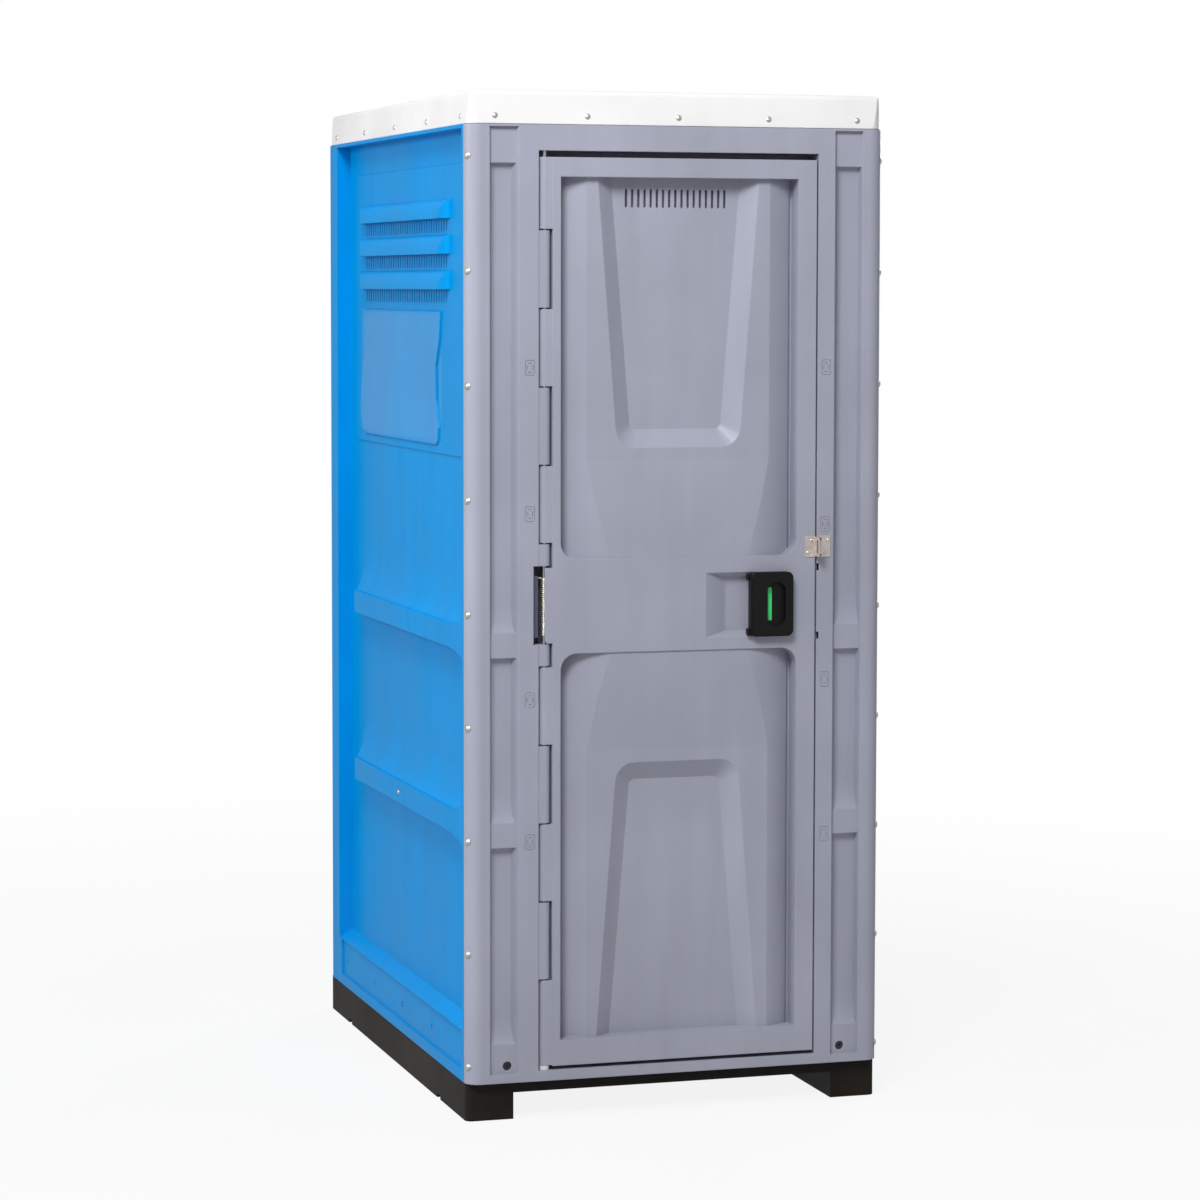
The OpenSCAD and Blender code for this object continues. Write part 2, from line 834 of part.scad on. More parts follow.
module front_frame() {
    left = -open_left - e;
    right = open_right + e;
    color([0.6, 0.59, 0.64])
        difference() {
            union() {
                stile(open_left);
                mirror([1, 0, 0])
                    stile(open_right);
                // head rail and sill rail
                span([left, yf, open_high], [right, yf + wall_t, rim_z - 1]);
                span([left, yf, open_high], [right, stop_y1, open_high + wall_t]);
                span([left, yf, base_h], [right, yf + wall_t, open_low]);
                span([left, yf, open_low - wall_t], [right, stop_y1, open_low]);
                span([left, yf + 60, base_h], [right, yf + 65, open_low - 4]);
                // bosses that hold the rod's ends
                span([left, yf + 1, base_h], [hinge_x + 14, hinge_y + 20, open_low]);
                span([left, yf + 1, open_high], [hinge_x + 14, hinge_y + 20, open_high + 22]);
                // stop flange behind the door
                difference() {
                    span([-open_left - wall_t, stop_y0, open_low - wall_t],
                        [open_right + wall_t, stop_y1, open_high + wall_t]);
                    span([door_l + 10, stop_y0 - 1, door_low + 9.5],
                        [door_r - 10, stop_y1 + 1, door_high - 10]);
                }
                rim_flange() {
                    head_plan(0);
                    head_plan(flange_inset);
                    head_plan(flange_inset + wall_t);
                }
                for (z = frame_knuckles)
                    knuckle(z, -knuckle_r - knuckle_run);
            }
            // window for the closing spring
            span([-open_left - 12, yf - 1, window_low],
                [-open_left + 1, hinge_y + 21, window_high]);
            // seats of the rod's ends
            translate([hinge_x, hinge_y, 0]) {
                rod_z(base_h + 10, open_low + 1, rod_r + rod_clear);
                rod_z(open_high - 1, open_high + 15, rod_r + rod_clear);
            }
            // seat, bolt hole and end notches of the strike plate
            span([open_right - 1, yf + 16, lock_z - 78], [open_right + 1.5, yf + 58, lock_z + 78]);
            strike_hole();
            for (z = [lock_z - 75, lock_z + 81])
                span([open_right - 1, yf - 1, z - 8], [open_right + 6, yf + 11, z + 8]);
            for (p = clip_spots)
                translate([p[0], 0, p[1]])
                    along_y(yf - 1, yf + 1.5)
                        round_rect([-11, -17], [11, 17], 5);
            corner_holes();
            roof_holes();
            hasp_holes(hasp_frame_spots);
        }
}

// the way of the bolt through the right jamb
module strike_hole() {
    span([open_right - 1, bolt_y0 - 2, lock_z - bolt_half - 3],
        [open_right + 9, bolt_y1 + 3, lock_z + bolt_half + 3]);
}

module jamb_clips() {
    color([0.58, 0.57, 0.62])
        for (p = clip_spots)
            translate([p[0], yf, p[1]])
                difference() {
                    along_y(0.3, 1.5)
                        round_rect([-10.6, -16.6], [10.6, 16.6], 4.6);
                    for (s = [-1, 1]) {
                        span([s * 6 - 1.2, 0, -5], [s * 6 + 1.2, 0.9, 5]);
                        span([-3.5, 0, s * 10 - 1.2], [3.5, 0.9, s * 10 + 1.2]);
                    }
                }
}

module door_seal() {
    color([0.08, 0.08, 0.08])
        difference() {
            span([door_l + 5, door_back + 0.5, door_low + 4.5], [door_r - 5, stop_y0, door_high - 5]);
            span([door_l + 10, door_back, door_low + 9.5], [door_r - 10, stop_y0 + 1, door_high - 10]);
        }
}

module strike_plate() {
    color([0.72, 0.73, 0.75])
        difference() {
            span([open_right, yf + 16.2, lock_z - 77.8], [open_right + 1.5, yf + 57.8, lock_z + 77.8]);
            strike_hole();
            for (s = [-1, 1])
                translate([0, yf + 37, lock_z + s * 60])
                    rod_x(open_right - 1, open_right + 3, 2.2);
        }
}

// Roof

// the rim's outline across one way, h from the centre to the wall face
module rim_profile(h) {
    top = total_h - 4;
    inset = rim_inset + rim_draft;
    half = [[h - rim_inset, rim_z], [h - inset, top - 10], [h - inset - 1.5, top - 5],
        [h - inset - 5, top - 1.5], [h - inset - 11, top]];
    polygon(concat(half, [for (i = [4 : -1 : 0]) [-half[i][0], half[i][1]]]));
}

// plan of the roof, d inside the wall face
module roof_plan(d) {
    round_rect([-hx + d, yf + d], [hx - d, yb - d], corner_r - d);
}

module roof_cap() {
    color([0.93, 0.93, 0.91])
        difference() {
            union() {
                intersection() {
                    along_y(yf, yb)
                        rim_profile(hx);
                    along_x(-hx, hx)
                        rim_profile(yb);
                    along_z(rim_z, total_h)
                        roof_plan(rim_inset);
                }
                // two raised fields
                for (s = [-1, 1])
                    along_z(total_h - 5, total_h)
                        translate([0, s * (yb / 2 - 40)])
                            round_rect([-hx + 110, -yb / 2 + 90], [hx - 110, yb / 2 - 90], 40);
            }
            along_z(rim_z - 1, flange_top)
                roof_plan(flange_inset);
            along_z(flange_top - 1, total_h - 9)
                roof_plan(flange_inset + 6);
            roof_holes();
        }
}

module roof_rivets() {
    color([0.8, 0.8, 0.8])
        roof_rivet_at() {
            dome(7, 3);
            rod_z(-12, 0.5, 2);
        }
}

module corner_rivets() {
    color([0.8, 0.79, 0.76])
        for (s = [-1, 1])
            corner_at(s) {
                translate([0, 0, corner_r])
                    dome(rivet_head, 4);
                rod_z(corner_r - wall_t - 5, corner_r + 0.5, rivet_hole);
            }
}

module back_rivets() {
    color([0.8, 0.79, 0.76])
        for (s = [-1, 1])
            back_rivet_at(s) {
                dome(rivet_head, 4);
                rod_z(-2 * wall_t + 0.4, 0.5, rivet_hole);
            }
}

module skirt_screws() {
    color([0.16, 0.4, 0.62])
        for (m = [0, 1])
            mirror([m, 0, 0])
                skirt_screw_at() {
                    difference() {
                        rod_x(lip_inset + 0.3, lip_inset + 2.5, 4.5);
                        rod_x(lip_inset - 1, lip_inset + 1.5, 1.6);
                    }
                    rod_x(lip_inset + 2, lip_inset + 2 * wall_t, rivet_hole);
                }
}

module ledge_rivets() {
    color([0.8, 0.79, 0.76])
        for (m = [0, 1])
            mirror([m, 0, 0])
                translate([-hx, -49, ledge_low - 28]) {
                    rotate([0, -90, 0])
                        dome(6, 3);
                    rod_x(-0.5, wall_t + 1, rivet_hole);
                    rod_x(wall_t, wall_t + 2, 6);
                }
}

// Fixings between the frame and the base

module anchor_brackets() {
    y = yf + chan_depth + wall_t;
    color([0.62, 0.63, 0.65])
        for (s = [-1, 1])
            difference() {
                union() {
                    span([s * anchor_x - 28, y, base_h], [s * anchor_x + 28, y + 4, base_h + 66]);
                    span([s * anchor_x - 28, y, base_h], [s * anchor_x + 28, yf + 72, base_h + 4]);
                }
                translate([s * (anchor_x - 8), 0, anchor_z])
                    rod_y(y - 1, y + 5, 4);
                translate([s * anchor_x, yf + 58, 0])
                    rod_z(base_h - 1, base_h + 5, 4);
            }
}

module frame_bolts() {
    y = yf + chan_depth + wall_t + 4;
    color([0.55, 0.56, 0.58])
        for (s = [-1, 1])
            translate([s * (anchor_x - 8), 0, anchor_z]) {
                difference() {
                    rod_y(yf + block_drop + 3, yf + block_drop + 11, 8);
                    rod_y(yf + block_drop + 2, yf + block_drop + 7, 3.6);
                }
                rod_y(yf + block_drop + 10, y + 10, 4);
                rod_y(y, y + 6, 7);
            }
}

module deck_bolts() {
    color([0.55, 0.56, 0.58])
        for (s = [-1, 1])
            translate([s * anchor_x, yf + 58, 0]) {
                rod_z(base_h - 20, base_h + 5, 4);
                rod_z(base_h + 4, base_h + 10, 7.5);
            }
}

// Hinge

module hinge_rod() {
    color([0.8, 0.81, 0.83])
        translate([hinge_x, hinge_y, 0])
            rod_z(base_h + 10, open_high + 13, rod_r);
}

// carries the door's lowest knuckle above the sill
module hinge_bush() {
    color([0.2, 0.2, 0.22])
        translate([hinge_x, hinge_y, 0])
            difference() {
                rod_z(open_low, door_knuckles[0][0] - 0.3, knuckle_r - 1);
                rod_z(open_low - 1, door_knuckles[0][0], rod_r + rod_clear);
            }
}

// one unbroken coil wound on the rod, with a leg towards the door and one to its bracket
coil_path = concat(
    [[11, spring_r, 0], [7, spring_r, 0], [3, spring_r, 0]],
    [for (i = [0 : spring_turns * 8])
        [spring_r * cos(90 + i * 45), spring_r * sin(90 + i * 45), i * spring_pitch / 8]],
    [for (x = [-3, -8, -14, -knuckle_r - knuckle_run - 4.7])
        [x, spring_r, spring_turns * spring_pitch]]);
coil_n = len(coil_path);
coil_side = 6;

function unit(v) = v / norm(v);
function coil_dir(i) = unit(coil_path[min(i + 1, coil_n - 1)] - coil_path[max(i - 1, 0)]);
function coil_ring(i) =
    let (t = coil_dir(i), n = unit(cross([0, 0, 1], t)), b = cross(t, n))
        [for (k = [0 : coil_side - 1])
            coil_path[i] + wire_r * (cos(k * 60) * n + sin(k * 60) * b)];
// least gap between points of the wire that are over half a turn apart
function coil_gap() =
    min([for (i = [0 : coil_n - 1], j = [i + 5 : i + 14]) if (j < coil_n)
        norm(coil_path[i] - coil_path[j])]) - 2 * wire_r;

module door_spring() {
    echo(least_gap_between_curls = coil_gap(), least_gap_to_rod = spring_r - wire_r - rod_r);
    color([0.66, 0.55, 0.34])
        translate([hinge_x, hinge_y, spring_z0])
            polyhedron(
                points = [for (i = [0 : coil_n - 1]) each coil_ring(i)],
                faces = concat(
                    [for (k = [1 : coil_side - 2]) [0, k + 1, k]],
                    [for (i = [0 : coil_n - 2], k = [0 : coil_side - 1])
                        [i * coil_side + k, i * coil_side + (k + 1) % coil_side,
                            (i + 1) * coil_side + (k + 1) % coil_side]],
                    [for (i = [0 : coil_n - 2], k = [0 : coil_side - 1])
                        [i * coil_side + k, (i + 1) * coil_side + (k + 1) % coil_side,
                            (i + 1) * coil_side + k]],
                    [for (k = [1 : coil_side - 2])
                        [(coil_n - 1) * coil_side, (coil_n - 1) * coil_side + k,
                            (coil_n - 1) * coil_side + k + 1]]));
}

module spring_bracket() {
    x0 = -open_left - 11;
    z0 = spring_z0 - 4;
    z1 = spring_z1 + 5;
    color([0.2, 0.22, 0.25])
        difference() {
            union() {
                span([x0, yf + 8, z0], [-open_left + 0.5, yf + 11, z1]);
                span([x0 + 3, yf + 8, z0], [x0 + 6, hinge_y + 20, z1]);
            }
            for (z = [z0 + 22, z1 - 24])
                translate([0, hinge_y + 14, z])
                    rod_x(x0, x0 + 10, 2.2);
        }
}

// Door

// the field inside a panel: a crest between rounded sides, coming flush at the end next to the lock band
module panel_field(z0, z1, flush_low) {
    floor_y = yf + panel_depth + 1;
    near = flush_low ? z0 : z1;
    far = flush_low ? z1 : z0;
    way = flush_low ? 1 : -1;
    side = [for (i = [0 : 10]) [crest_half + 120 * i / 10, yf + 3 + (deep - 3) * pow(i / 10, 2)]];
    intersection() {
        along_z(z0, z1)
            translate([panel_xc, 0])
                polygon(concat([[-field_half, floor_y]], [for (i = [10 : -1 : 0]) [-side[i][0], side[i][1]]],
                    side, [[field_half, floor_y]]));
        along_x(panel_xc - field_half - 1, panel_xc + field_half + 1)
            polygon([[floor_y + 1, near], [yf + 3, near], [yf + 5, near + way * 60], [yf + 9, near + way * 140],
                [yf + crest, near + way * ramp], [yf + crest, far], [floor_y + 1, far]]);
    }
}

// outline of a U-shaped hollow: half width w at its closed end, widening by s per mm to its open end
module u_outline(w, r, s, len) {
    start = 180 + atan(s);
    arc = [for (i = [0 : 5])
        let (a = start + (270 - start) * i / 5)
            [-w + r * (sqrt(1 + s * s) - s) + r * cos(a), r + r * sin(a)]];
    half = concat([[-w - s * len, len]], arc);
    polygon(concat(half, [for (i = [6 : -1 : 0]) [-half[i][0], half[i][1]]]));
}

module u_hollow(len, high) {
    hull() {
        along_y(yf + crest - 0.1, yf + crest)
            u_outline(u_top_half, 45, 0.0762, len);
        along_y(yf + deep - 0.1, yf + deep)
            translate([0, high])
                u_outline(u_floor_half, 14, 0.081, len - high);
    }
}

// one panel, its closed end low for the upper panel and high for the lower one
module panel_cut(z0, z1, flush_low) {
    tip = flush_low ? z0 + ramp + u_tip : z1 - ramp - u_tip - 4;
    len = flush_low ? z1 + 3 - tip : tip - z0 + 3;
    difference() {
        along_y(yf - 1, yf + panel_depth) {
            round_rect([panel_x0, z0], [panel_x1, z1], 38);
            translate([panel_x0, flush_low ? z0 + 60 : z0])
                square([panel_x1 - panel_x0, z1 - z0 - 60]);
        }
        difference() {
            panel_field(z0 - 1, z1 + 1, flush_low);
            translate([panel_xc, 0, tip])
                mirror([0, 0, flush_low ? 0 : 1])
                    u_hollow(len, 41);
        }
    }
}

// the moulding's hollows behind one panel, closed by the inner skin
module panel_hollow(z0, z1, flush_low) {
    a = flush_low ? z0 + 18 : z0 + 14;
    b = flush_low ? z1 - 14 : z1 - 18;
    flat = flush_low ? [z0 + 24, z0 + ramp] : [z1 - ramp, z1 - 24];
    translate([panel_xc, 0, 0]) {
        span([-field_half + 15, hollow_y, a], [field_half - 15, skin_y + 1, b]);
        span([-crest_half - 40, yf + crest + 8, flat[0]], [crest_half + 40, hollow_y + 1, flat[1]]);
        for (s = [-1, 1])
            translate([s * (field_half - 52), 0, 0])
                span([-22, yf + crest + 20, a], [22, hollow_y + 1, b]);
    }
}

module vent_slots(y0, y1) {
    for (k = [-8 : 8])
        translate([panel_xc + k * 14.5, 0, 0])
            along_y(y0, y1)
                round_rect([-2.75, vent_top - vent_h], [2.75, vent_top], 2.7);
}

// finger pocket beside the lock, with a ramp and sloped ends
module finger_pocket() {
    intersection() {
        along_z(lock_z - 74, lock_z + 74)
            polygon([[lock_x - 152, yf - 1], [lock_x - 152, yf], [lock_x - 102, yf + 20],
                [lock_x - 97, yf + 21], [lock_x - 33, yf + 21], [lock_x - 33, yf - 1]]);
        along_x(lock_x - 153, lock_x - 32)
            translate([yf, lock_z])
                polygon([[-2, -74], [0, -73], [22, -60], [22, 60], [0, 73], [-2, 74]]);
    }
}

module door_outer_skin() {
    color([0.62, 0.61, 0.66])
        difference() {
            union() {
                span([door_l, yf, door_low], [door_r, skin_y, door_high]);
                for (z = door_knuckles)
                    knuckle(z, knuckle_r + knuckle_run);
                // cover tongue over the closing spring
                along_y(yf, yf + 3)
                    translate([hinge_x - 2, window_low + 2])
                        difference() {
                            square([20, window_high - window_low - 6]);
                            translate([-1, -1])
                                square([5, 5]);
                        }
            }
            panel_cut(up_z0, up_z1, true);
            panel_cut(lo_z0, lo_z1, false);
            panel_hollow(up_z0, up_z1, true);
            panel_hollow(lo_z0, lo_z1, false);
            // hollows of the lock band and of the borders
            span([panel_x0 - 9, yf + 8, band_z0], [lock_x - 162, skin_y + 1, band_z1]);
            span([lock_x - 168, yf + 28, band_z0], [lock_x - 30, skin_y + 1, band_z1]);
            span([lock_x - 36, yf + 22, band_z0], [door_r - 7, skin_y + 1, band_z1]);
            span([panel_x1 + 13, yf + 8, door_low + 10], [door_r - 7, skin_y + 1, door_high - 10]);
            for (z = [[up_z1 + 6, door_high - 7], [door_low + 7, lo_z0 - 7]])
                span([panel_x0 + 7, yf + 8, z[0]], [panel_x1 - 23, skin_y + 1, z[1]]);
            vent_slots(yf - 1, skin_y + 1);
            finger_pocket();
            // room for the bolt's stem, and its way through the door's edge
            span([lock_x - 28, yf - 1, lock_z - 22], [lock_x + 28, bolt_y0, lock_z + 22]);
            span([door_r - 8, bolt_y0 - bolt_clear, lock_z - bolt_half - bolt_clear],
                [door_r + 1, bolt_y1 + bolt_clear, lock_z + bolt_half + bolt_clear]);
            door_screw_at()
                rod_y(-12, 0, 2);
            hasp_holes(hasp_door_spots);
        }
}

module door_screw_at() {
    for (x = [door_l + 16, panel_x1 + 6.5], i = [0 : 2], u = [0, 1])
        translate([x, skin_y, u == 0 ? lo_z0 - 17 + i * (lo_z1 - lo_z0 - 190) / 2
                : up_z0 + 53 + i * (up_z1 - up_z0 - 159) / 2])
            children();
}

module door_inner_skin() {
    color([0.64, 0.63, 0.68])
        difference() {
            span([door_l, skin_y, door_low], [door_r, door_back, door_high]);
            // shallow fields on the inside face
            for (z = [[lo_z0, lo_z1 - 20], [up_z0 + 20, vent_top - vent_h - 50]])
                along_y(field_y, door_back + 1)
                    round_rect([-240, z[0]], [240, z[1]], 30);
            vent_slots(skin_y - 1, door_back + 1);
            knob_slot();
            door_screw_at()
                rod_y(-1, skin_t + 1, 2);
            lock_screw_at()
                rod_y(-skin_t - 1, 1, 2);
        }
}

module door_screws() {
    color([0.7, 0.71, 0.73])
        door_screw_at() {
            rod_y(-11, skin_t + 0.5, 2);
            difference() {
                rod_y(skin_t, skin_t + 2, 4.5);
                rod_y(skin_t + 1, skin_t + 3, 1.5);
            }
        }
}

module inner_pull() {
    y = door_back + 38;
    color([0.1, 0.1, 0.11])
        translate([lock_x - 98, 0, up_z0 + 43]) {
            translate([0, y, 0])
                rod_z(0, 150, 9);
            for (z = [9, 141])
                translate([0, 0, z])
                    rod_y(field_y, y, 9);
        }
}

// Lock

module lock_plan(d) {
    round_rect([lock_x - 51 + d, lock_z - 73 + d], [lock_x + 51 - d, lock_z + 73 - d], 14 - d);
}

module lock_body() {
    color([0.06, 0.06, 0.07])
        difference() {
            union() {
                along_y(yf - 17, yf)
                    lock_plan(0);
                along_y(yf - 20, yf - 16)
                    lock_plan(1.5);
                along_y(yf - 22, yf - 19)
                    lock_plan(4);
                // ears beside the finger pocket
                for (s = [-1, 1])
                    along_y(yf - 12, yf)
                        translate([lock_x, lock_z + s * 62])
                            round_rect([-57, -8], [-33, 8], 4);
            }
            // stadium recess and the indicator's window
            along_y(yf - 23, yf - 10)
                round_rect([lock_x - 12, lock_z - 51], [lock_x + 31, lock_z + 51], 21.4);
            span([lock_x - 9.5, yf - 12, lock_z - 37], [lock_x + 2.5, room_y + 2, lock_z + 38]);
            // room for the indicator, and the grip's hollow
            span([lock_x - 34, room_y, lock_z - 48], [lock_x + 44, yf + 1, lock_z + 48]);
            span([lock_x - 44, yf - 12, lock_z - 56], [lock_x - 38, yf + 1, lock_z + 56]);
        }
}

module indicator(x0, x1) {
    span([lock_x + x0, plate_y - 5, lock_z - 42], [lock_x + x1, plate_y - 3, lock_z + 42]);
}

module indicator_green() {
    color([0.1, 0.75, 0.3])
        indicator(-11.5, 5);
}

module indicator_red() {
    color([0.8, 0.1, 0.1])
        indicator(-11.5 - bolt_travel, -11.5);
}

// indicator plate, stem, square bolt and the stub of the inner knob
module latch_bolt() {
    color([0.68, 0.69, 0.71])
        union() {
            span([lock_x - 30, plate_y - 3, lock_z - 44], [lock_x + 8, plate_y, lock_z + 44]);
            span([lock_x - 18, plate_y - 0.5, lock_z - 8], [lock_x - 4, bolt_y0 + 1, lock_z + 8]);
            span([lock_x - 22, bolt_y0, lock_z - bolt_half], [bolt_end, bolt_y1, lock_z + bolt_half]);
            span([lock_x + 21, bolt_y1 - 1, lock_z - 7], [lock_x + 33, door_back + 5, lock_z + 7]);
        }
}

// slot for the inner knob's stub
module knob_slot() {
    span([lock_x + 19, skin_y - 1, lock_z - 9],
        [lock_x + 36 + bolt_travel, door_back + 5, lock_z + 9]);
}

module latch_knob() {
    color([0.08, 0.08, 0.09])
        difference() {
            along_y(door_back + 5, door_back + 24)
                round_rect([lock_x + 12, lock_z - 28], [lock_x + 42, lock_z + 28], 12);
            for (s = [-1, 1])
                translate([lock_x + 27 + s * 19, 0, lock_z])
                    rod_y(door_back + 12, door_back + 25, 10);
        }
}

module lock_guide() {
    x0 = lock_x + 36 + bolt_travel + 2;
    color([0.6, 0.61, 0.63])
        difference() {
            union() {
                span([x0, bolt_y0 - 5, lock_z - 18], [door_r - 12, skin_y, lock_z + 18]);
                span([x0, skin_y - 4, lock_z - 62], [door_r - 12, skin_y, lock_z + 62]);
            }
            span([x0 - 1, bolt_y0 - bolt_clear, lock_z - bolt_half - bolt_clear],
                [door_r - 11, bolt_y1 + bolt_clear, lock_z + bolt_half + bolt_clear]);
            lock_screw_at()
                rod_y(-skin_t - 6, 1, 2);
        }
}

module lock_screw_at() {
    for (x = [lock_x - 4, lock_x + 74], s = [-1, 1])
        translate([x, door_back, lock_z + s * 52])
            children();
}

module lock_inner_plate() {
    color([0.08, 0.08, 0.09])
        difference() {
            along_y(door_back, door_back + 3.5)
                round_rect([lock_x - 14, lock_z - 64], [lock_x + 84, lock_z + 64], 12);
            knob_slot();
            lock_screw_at()
                rod_y(-1, 5, 2);
        }
}

module lock_screws() {
    color([0.7, 0.71, 0.73])
        lock_screw_at() {
            rod_y(-skin_t - 4, 4, 2);
            difference() {
                rod_y(3.5, 5.5, 4.2);
                rod_y(4.5, 6, 1.5);
            }
        }
}

// Hasp

// a riveted plate with a slotted tab standing out of it
module hasp(x0, x1, tab, spots) {
    difference() {
        union() {
            span([x0, yf - 2, hasp_z - 24], [x1, yf, hasp_z + 24]);
            span([tab, yf - 30, hasp_z - 22], [tab + 2, yf - 1, hasp_z + 22]);
        }
        span([tab - 1, yf - 24, hasp_z - 15], [tab + 3, yf - 14, hasp_z + 15]);
        hasp_holes(spots);
    }
}

module hasp_holes(spots) {
    for (p = spots)
        translate([p[0], 0, p[1]])
            rod_y(yf - 3, yf + 9, 2);
}

module hasp_door() {
    color([0.74, 0.73, 0.71])
        hasp(door_r - 24, door_r, door_r - 2, hasp_door_spots);
}

module hasp_frame() {
    color([0.74, 0.73, 0.71])
        hasp(open_right + 0.5, open_right + 32, open_right + 0.5, hasp_frame_spots);
}

module hasp_rivets(spots) {
    color([0.8, 0.79, 0.77])
        for (p = spots)
            translate([p[0], yf - 2, p[1]]) {
                rotate([90, 0, 0])
                    dome(3.6, 1.8);
                rod_y(-0.3, 7, 2);
            }
}

// Shower fittings on the back wall

module mixer_body() {
    color([0.82, 0.83, 0.85])
        translate([0, mixer_y, mixer_z])
            difference() {
                union() {
                    rod_x(-bar_half, bar_half, 24);
                    for (s = [-1, 1])
                        translate([s * inlet_x, 0, 0]) {
                            rod_y(0, 40, 15);
                            rod_y(26, 36, 18);
                        }
                    rod_z(0, 34, riser_r + 4);
                    rod_x(-bar_half - 24, bar_half + 24, spindle_r);
                }
                rod_z(30, 35, riser_r);
            }
}

module inlet_pipes() {
    color([0.78, 0.79, 0.8])
        for (s = [-1, 1])
            translate([s * inlet_x, 0, mixer_z])
                difference() {
                    union() {
                        rod_y(mixer_y + 40, yb + 30, pipe_r);
                        rod_y(yb + 8, yb + 30, inlet_r);
                        rod_y(wall_y + wall_t, wall_y + wall_t + 14, pipe_r + 7);
                    }
                    rod_y(mixer_y + 45, yb + 31, pipe_r - 3);
                }
}

module wall_flanges() {
    color([0.82, 0.83, 0.85])
        for (s = [-1, 1])
            translate([s * inlet_x, 0, mixer_z])
                difference() {
                    union() {
                        rod_y(wall_y - 4, wall_y, 30);
                        rod_y(wall_y - 8, wall_y - 3, 22);
                    }
                    rod_y(wall_y - 10, wall_y + 1, pipe_r);
                }
}

module marker_ring(x) {
    translate([x, 0, mixer_z])
        difference() {
            rod_y(yb - 12, yb - 3, pipe_r + 3.5);
            rod_y(yb - 13, yb - 2, pipe_r);
        }
}

module hot_ring() {
    color([0.8, 0.12, 0.1])
        marker_ring(inlet_x);
}

module cold_ring() {
    color([0.1, 0.3, 0.8])
        marker_ring(-inlet_x);
}

module riser_pipe() {
    color([0.84, 0.85, 0.87])
        translate([0, mixer_y, 0])
            difference() {
                rod_z(mixer_z + 30, arm_z - bend, riser_r);
                rod_z(mixer_z + 29, arm_z - bend + 1, riser_r - 2);
            }
}

// a quarter bend from +Z to -Y, its start at the origin
module quarter_bend() {
    translate([0, -bend, 0])
        rotate([90, 0, 90])
            rotate_extrude(angle = 90)
                translate([bend, 0])
                    circle(riser_r);
}

module shower_arm() {
    color([0.84, 0.85, 0.87])
        difference() {
            union() {
                translate([0, mixer_y, arm_z - bend])
                    quarter_bend();
                translate([0, 0, arm_z])
                    rod_y(head_y + bend, mixer_y - bend, riser_r);
                translate([0, head_y, arm_z - bend])
                    mirror([0, 1, 0])
                        quarter_bend();
                translate([0, head_y, 0]) {
                    rod_z(arm_z - bend - 6, arm_z - bend, riser_r);
                    rod_z(ball_z, arm_z - bend - 5, 5.5);
                }
                translate([0, head_y, ball_z])
                    sphere(ball_r, $fn = 48);
            }
            translate([0, head_y, 0])
                rod_z(ball_z - 12, arm_z - bend, 2.5);
        }
}

module shower_head() {
    color([0.84, 0.85, 0.87])
        translate([0, head_y, ball_z])
            difference() {
                union() {
                    rod_z(-22, 5, 17);
                    rod_z(-26, -18, 34);
                    rod_z(-32, -24, head_r);
                }
                sphere(ball_r + rod_clear, $fn = 48);
                rod_z(3, 6, ball_r - 0.4);
                rod_z(-27, -5, 5);
                rod_z(-30, -27, head_r - 8);
            }
}

module spray_nozzles() {
    color([0.25, 0.26, 0.28])
        translate([0, head_y, ball_z - 35])
            for (k = [1 : 4])
                for (i = [0 : k * 6 - 1])
                    rotate([0, 0, i * 60 / k])
                        translate([k * (head_r - 20) / 4, 0, 0])
                            cylinder(h = 3, r1 = 1.8, r2 = 2.6);
}

module pipe_clips() {
    color([0.82, 0.83, 0.85])
        for (z = [mixer_z + 345, arm_z - 220])
            translate([0, 0, z])
                difference() {
                    union() {
                        translate([0, mixer_y, 0])
                            rod_z(-9, 9, riser_r + 4);
                        rod_y(mixer_y + riser_r, wall_y, 6);
                        rod_y(wall_y - 5, wall_y, 20);
                    }
                    translate([0, mixer_y, 0])
                        rod_z(-10, 10, riser_r);
                }
}

// turning knob on one end of the mixer bar; side is -1 or 1
module knob(side) {
    x0 = bar_half + 0.5;
    color([0.8, 0.81, 0.83])
        translate([0, mixer_y, mixer_z])
            mirror([side < 0 ? 1 : 0, 0, 0])
                difference() {
                    union() {
                        rod_x(x0, x0 + 45, 22);
                        rod_x(x0, x0 + 7, 25);
                        for (i = [0 : 11])
                            rotate([i * 30, 0, 0])
                                translate([0, 0, 22])
                                    rod_x(x0 + 10, x0 + 42, 2.5);
                        translate([0, 0, 22])
                            span([x0 + 14, -6, 0], [x0 + 38, 6, 8]);
                    }
                    rod_x(bar_half, bar_half + 26, spindle_r + 0.06);
                }
}

// Fittings on the side walls

module soap_shelf() {
    color([0.8, 0.81, 0.82])
        translate([hx - bay_inner, 65, shelf_z])
            difference() {
                union() {
                    span([-105, -125, 0], [0, 125, 4]);
                    span([-4, -125, 0], [0, 125, 50]);
                    span([-105, -125, 0], [-102, 125, 22]);
                    for (y = [-125, 122])
                        span([-105, y, 0], [0, y + 3, 22]);
                }
                for (k = [-4 : 4])
                    span([-95, k * 25 - 5, -1], [-15, k * 25 + 5, 5]);
            }
}

module hook_rail() {
    color([0.8, 0.81, 0.82])
        translate([-hx + bay_inner, -150, ledge_high + 293]) {
            span([0, -150, -15], [6, 150, 15]);
            for (y = [-110, 0, 110])
                translate([0, y, 0]) {
                    rod_x(5, 42, 6);
                    translate([44, 0, 0])
                        sphere(10);
                }
        }
}

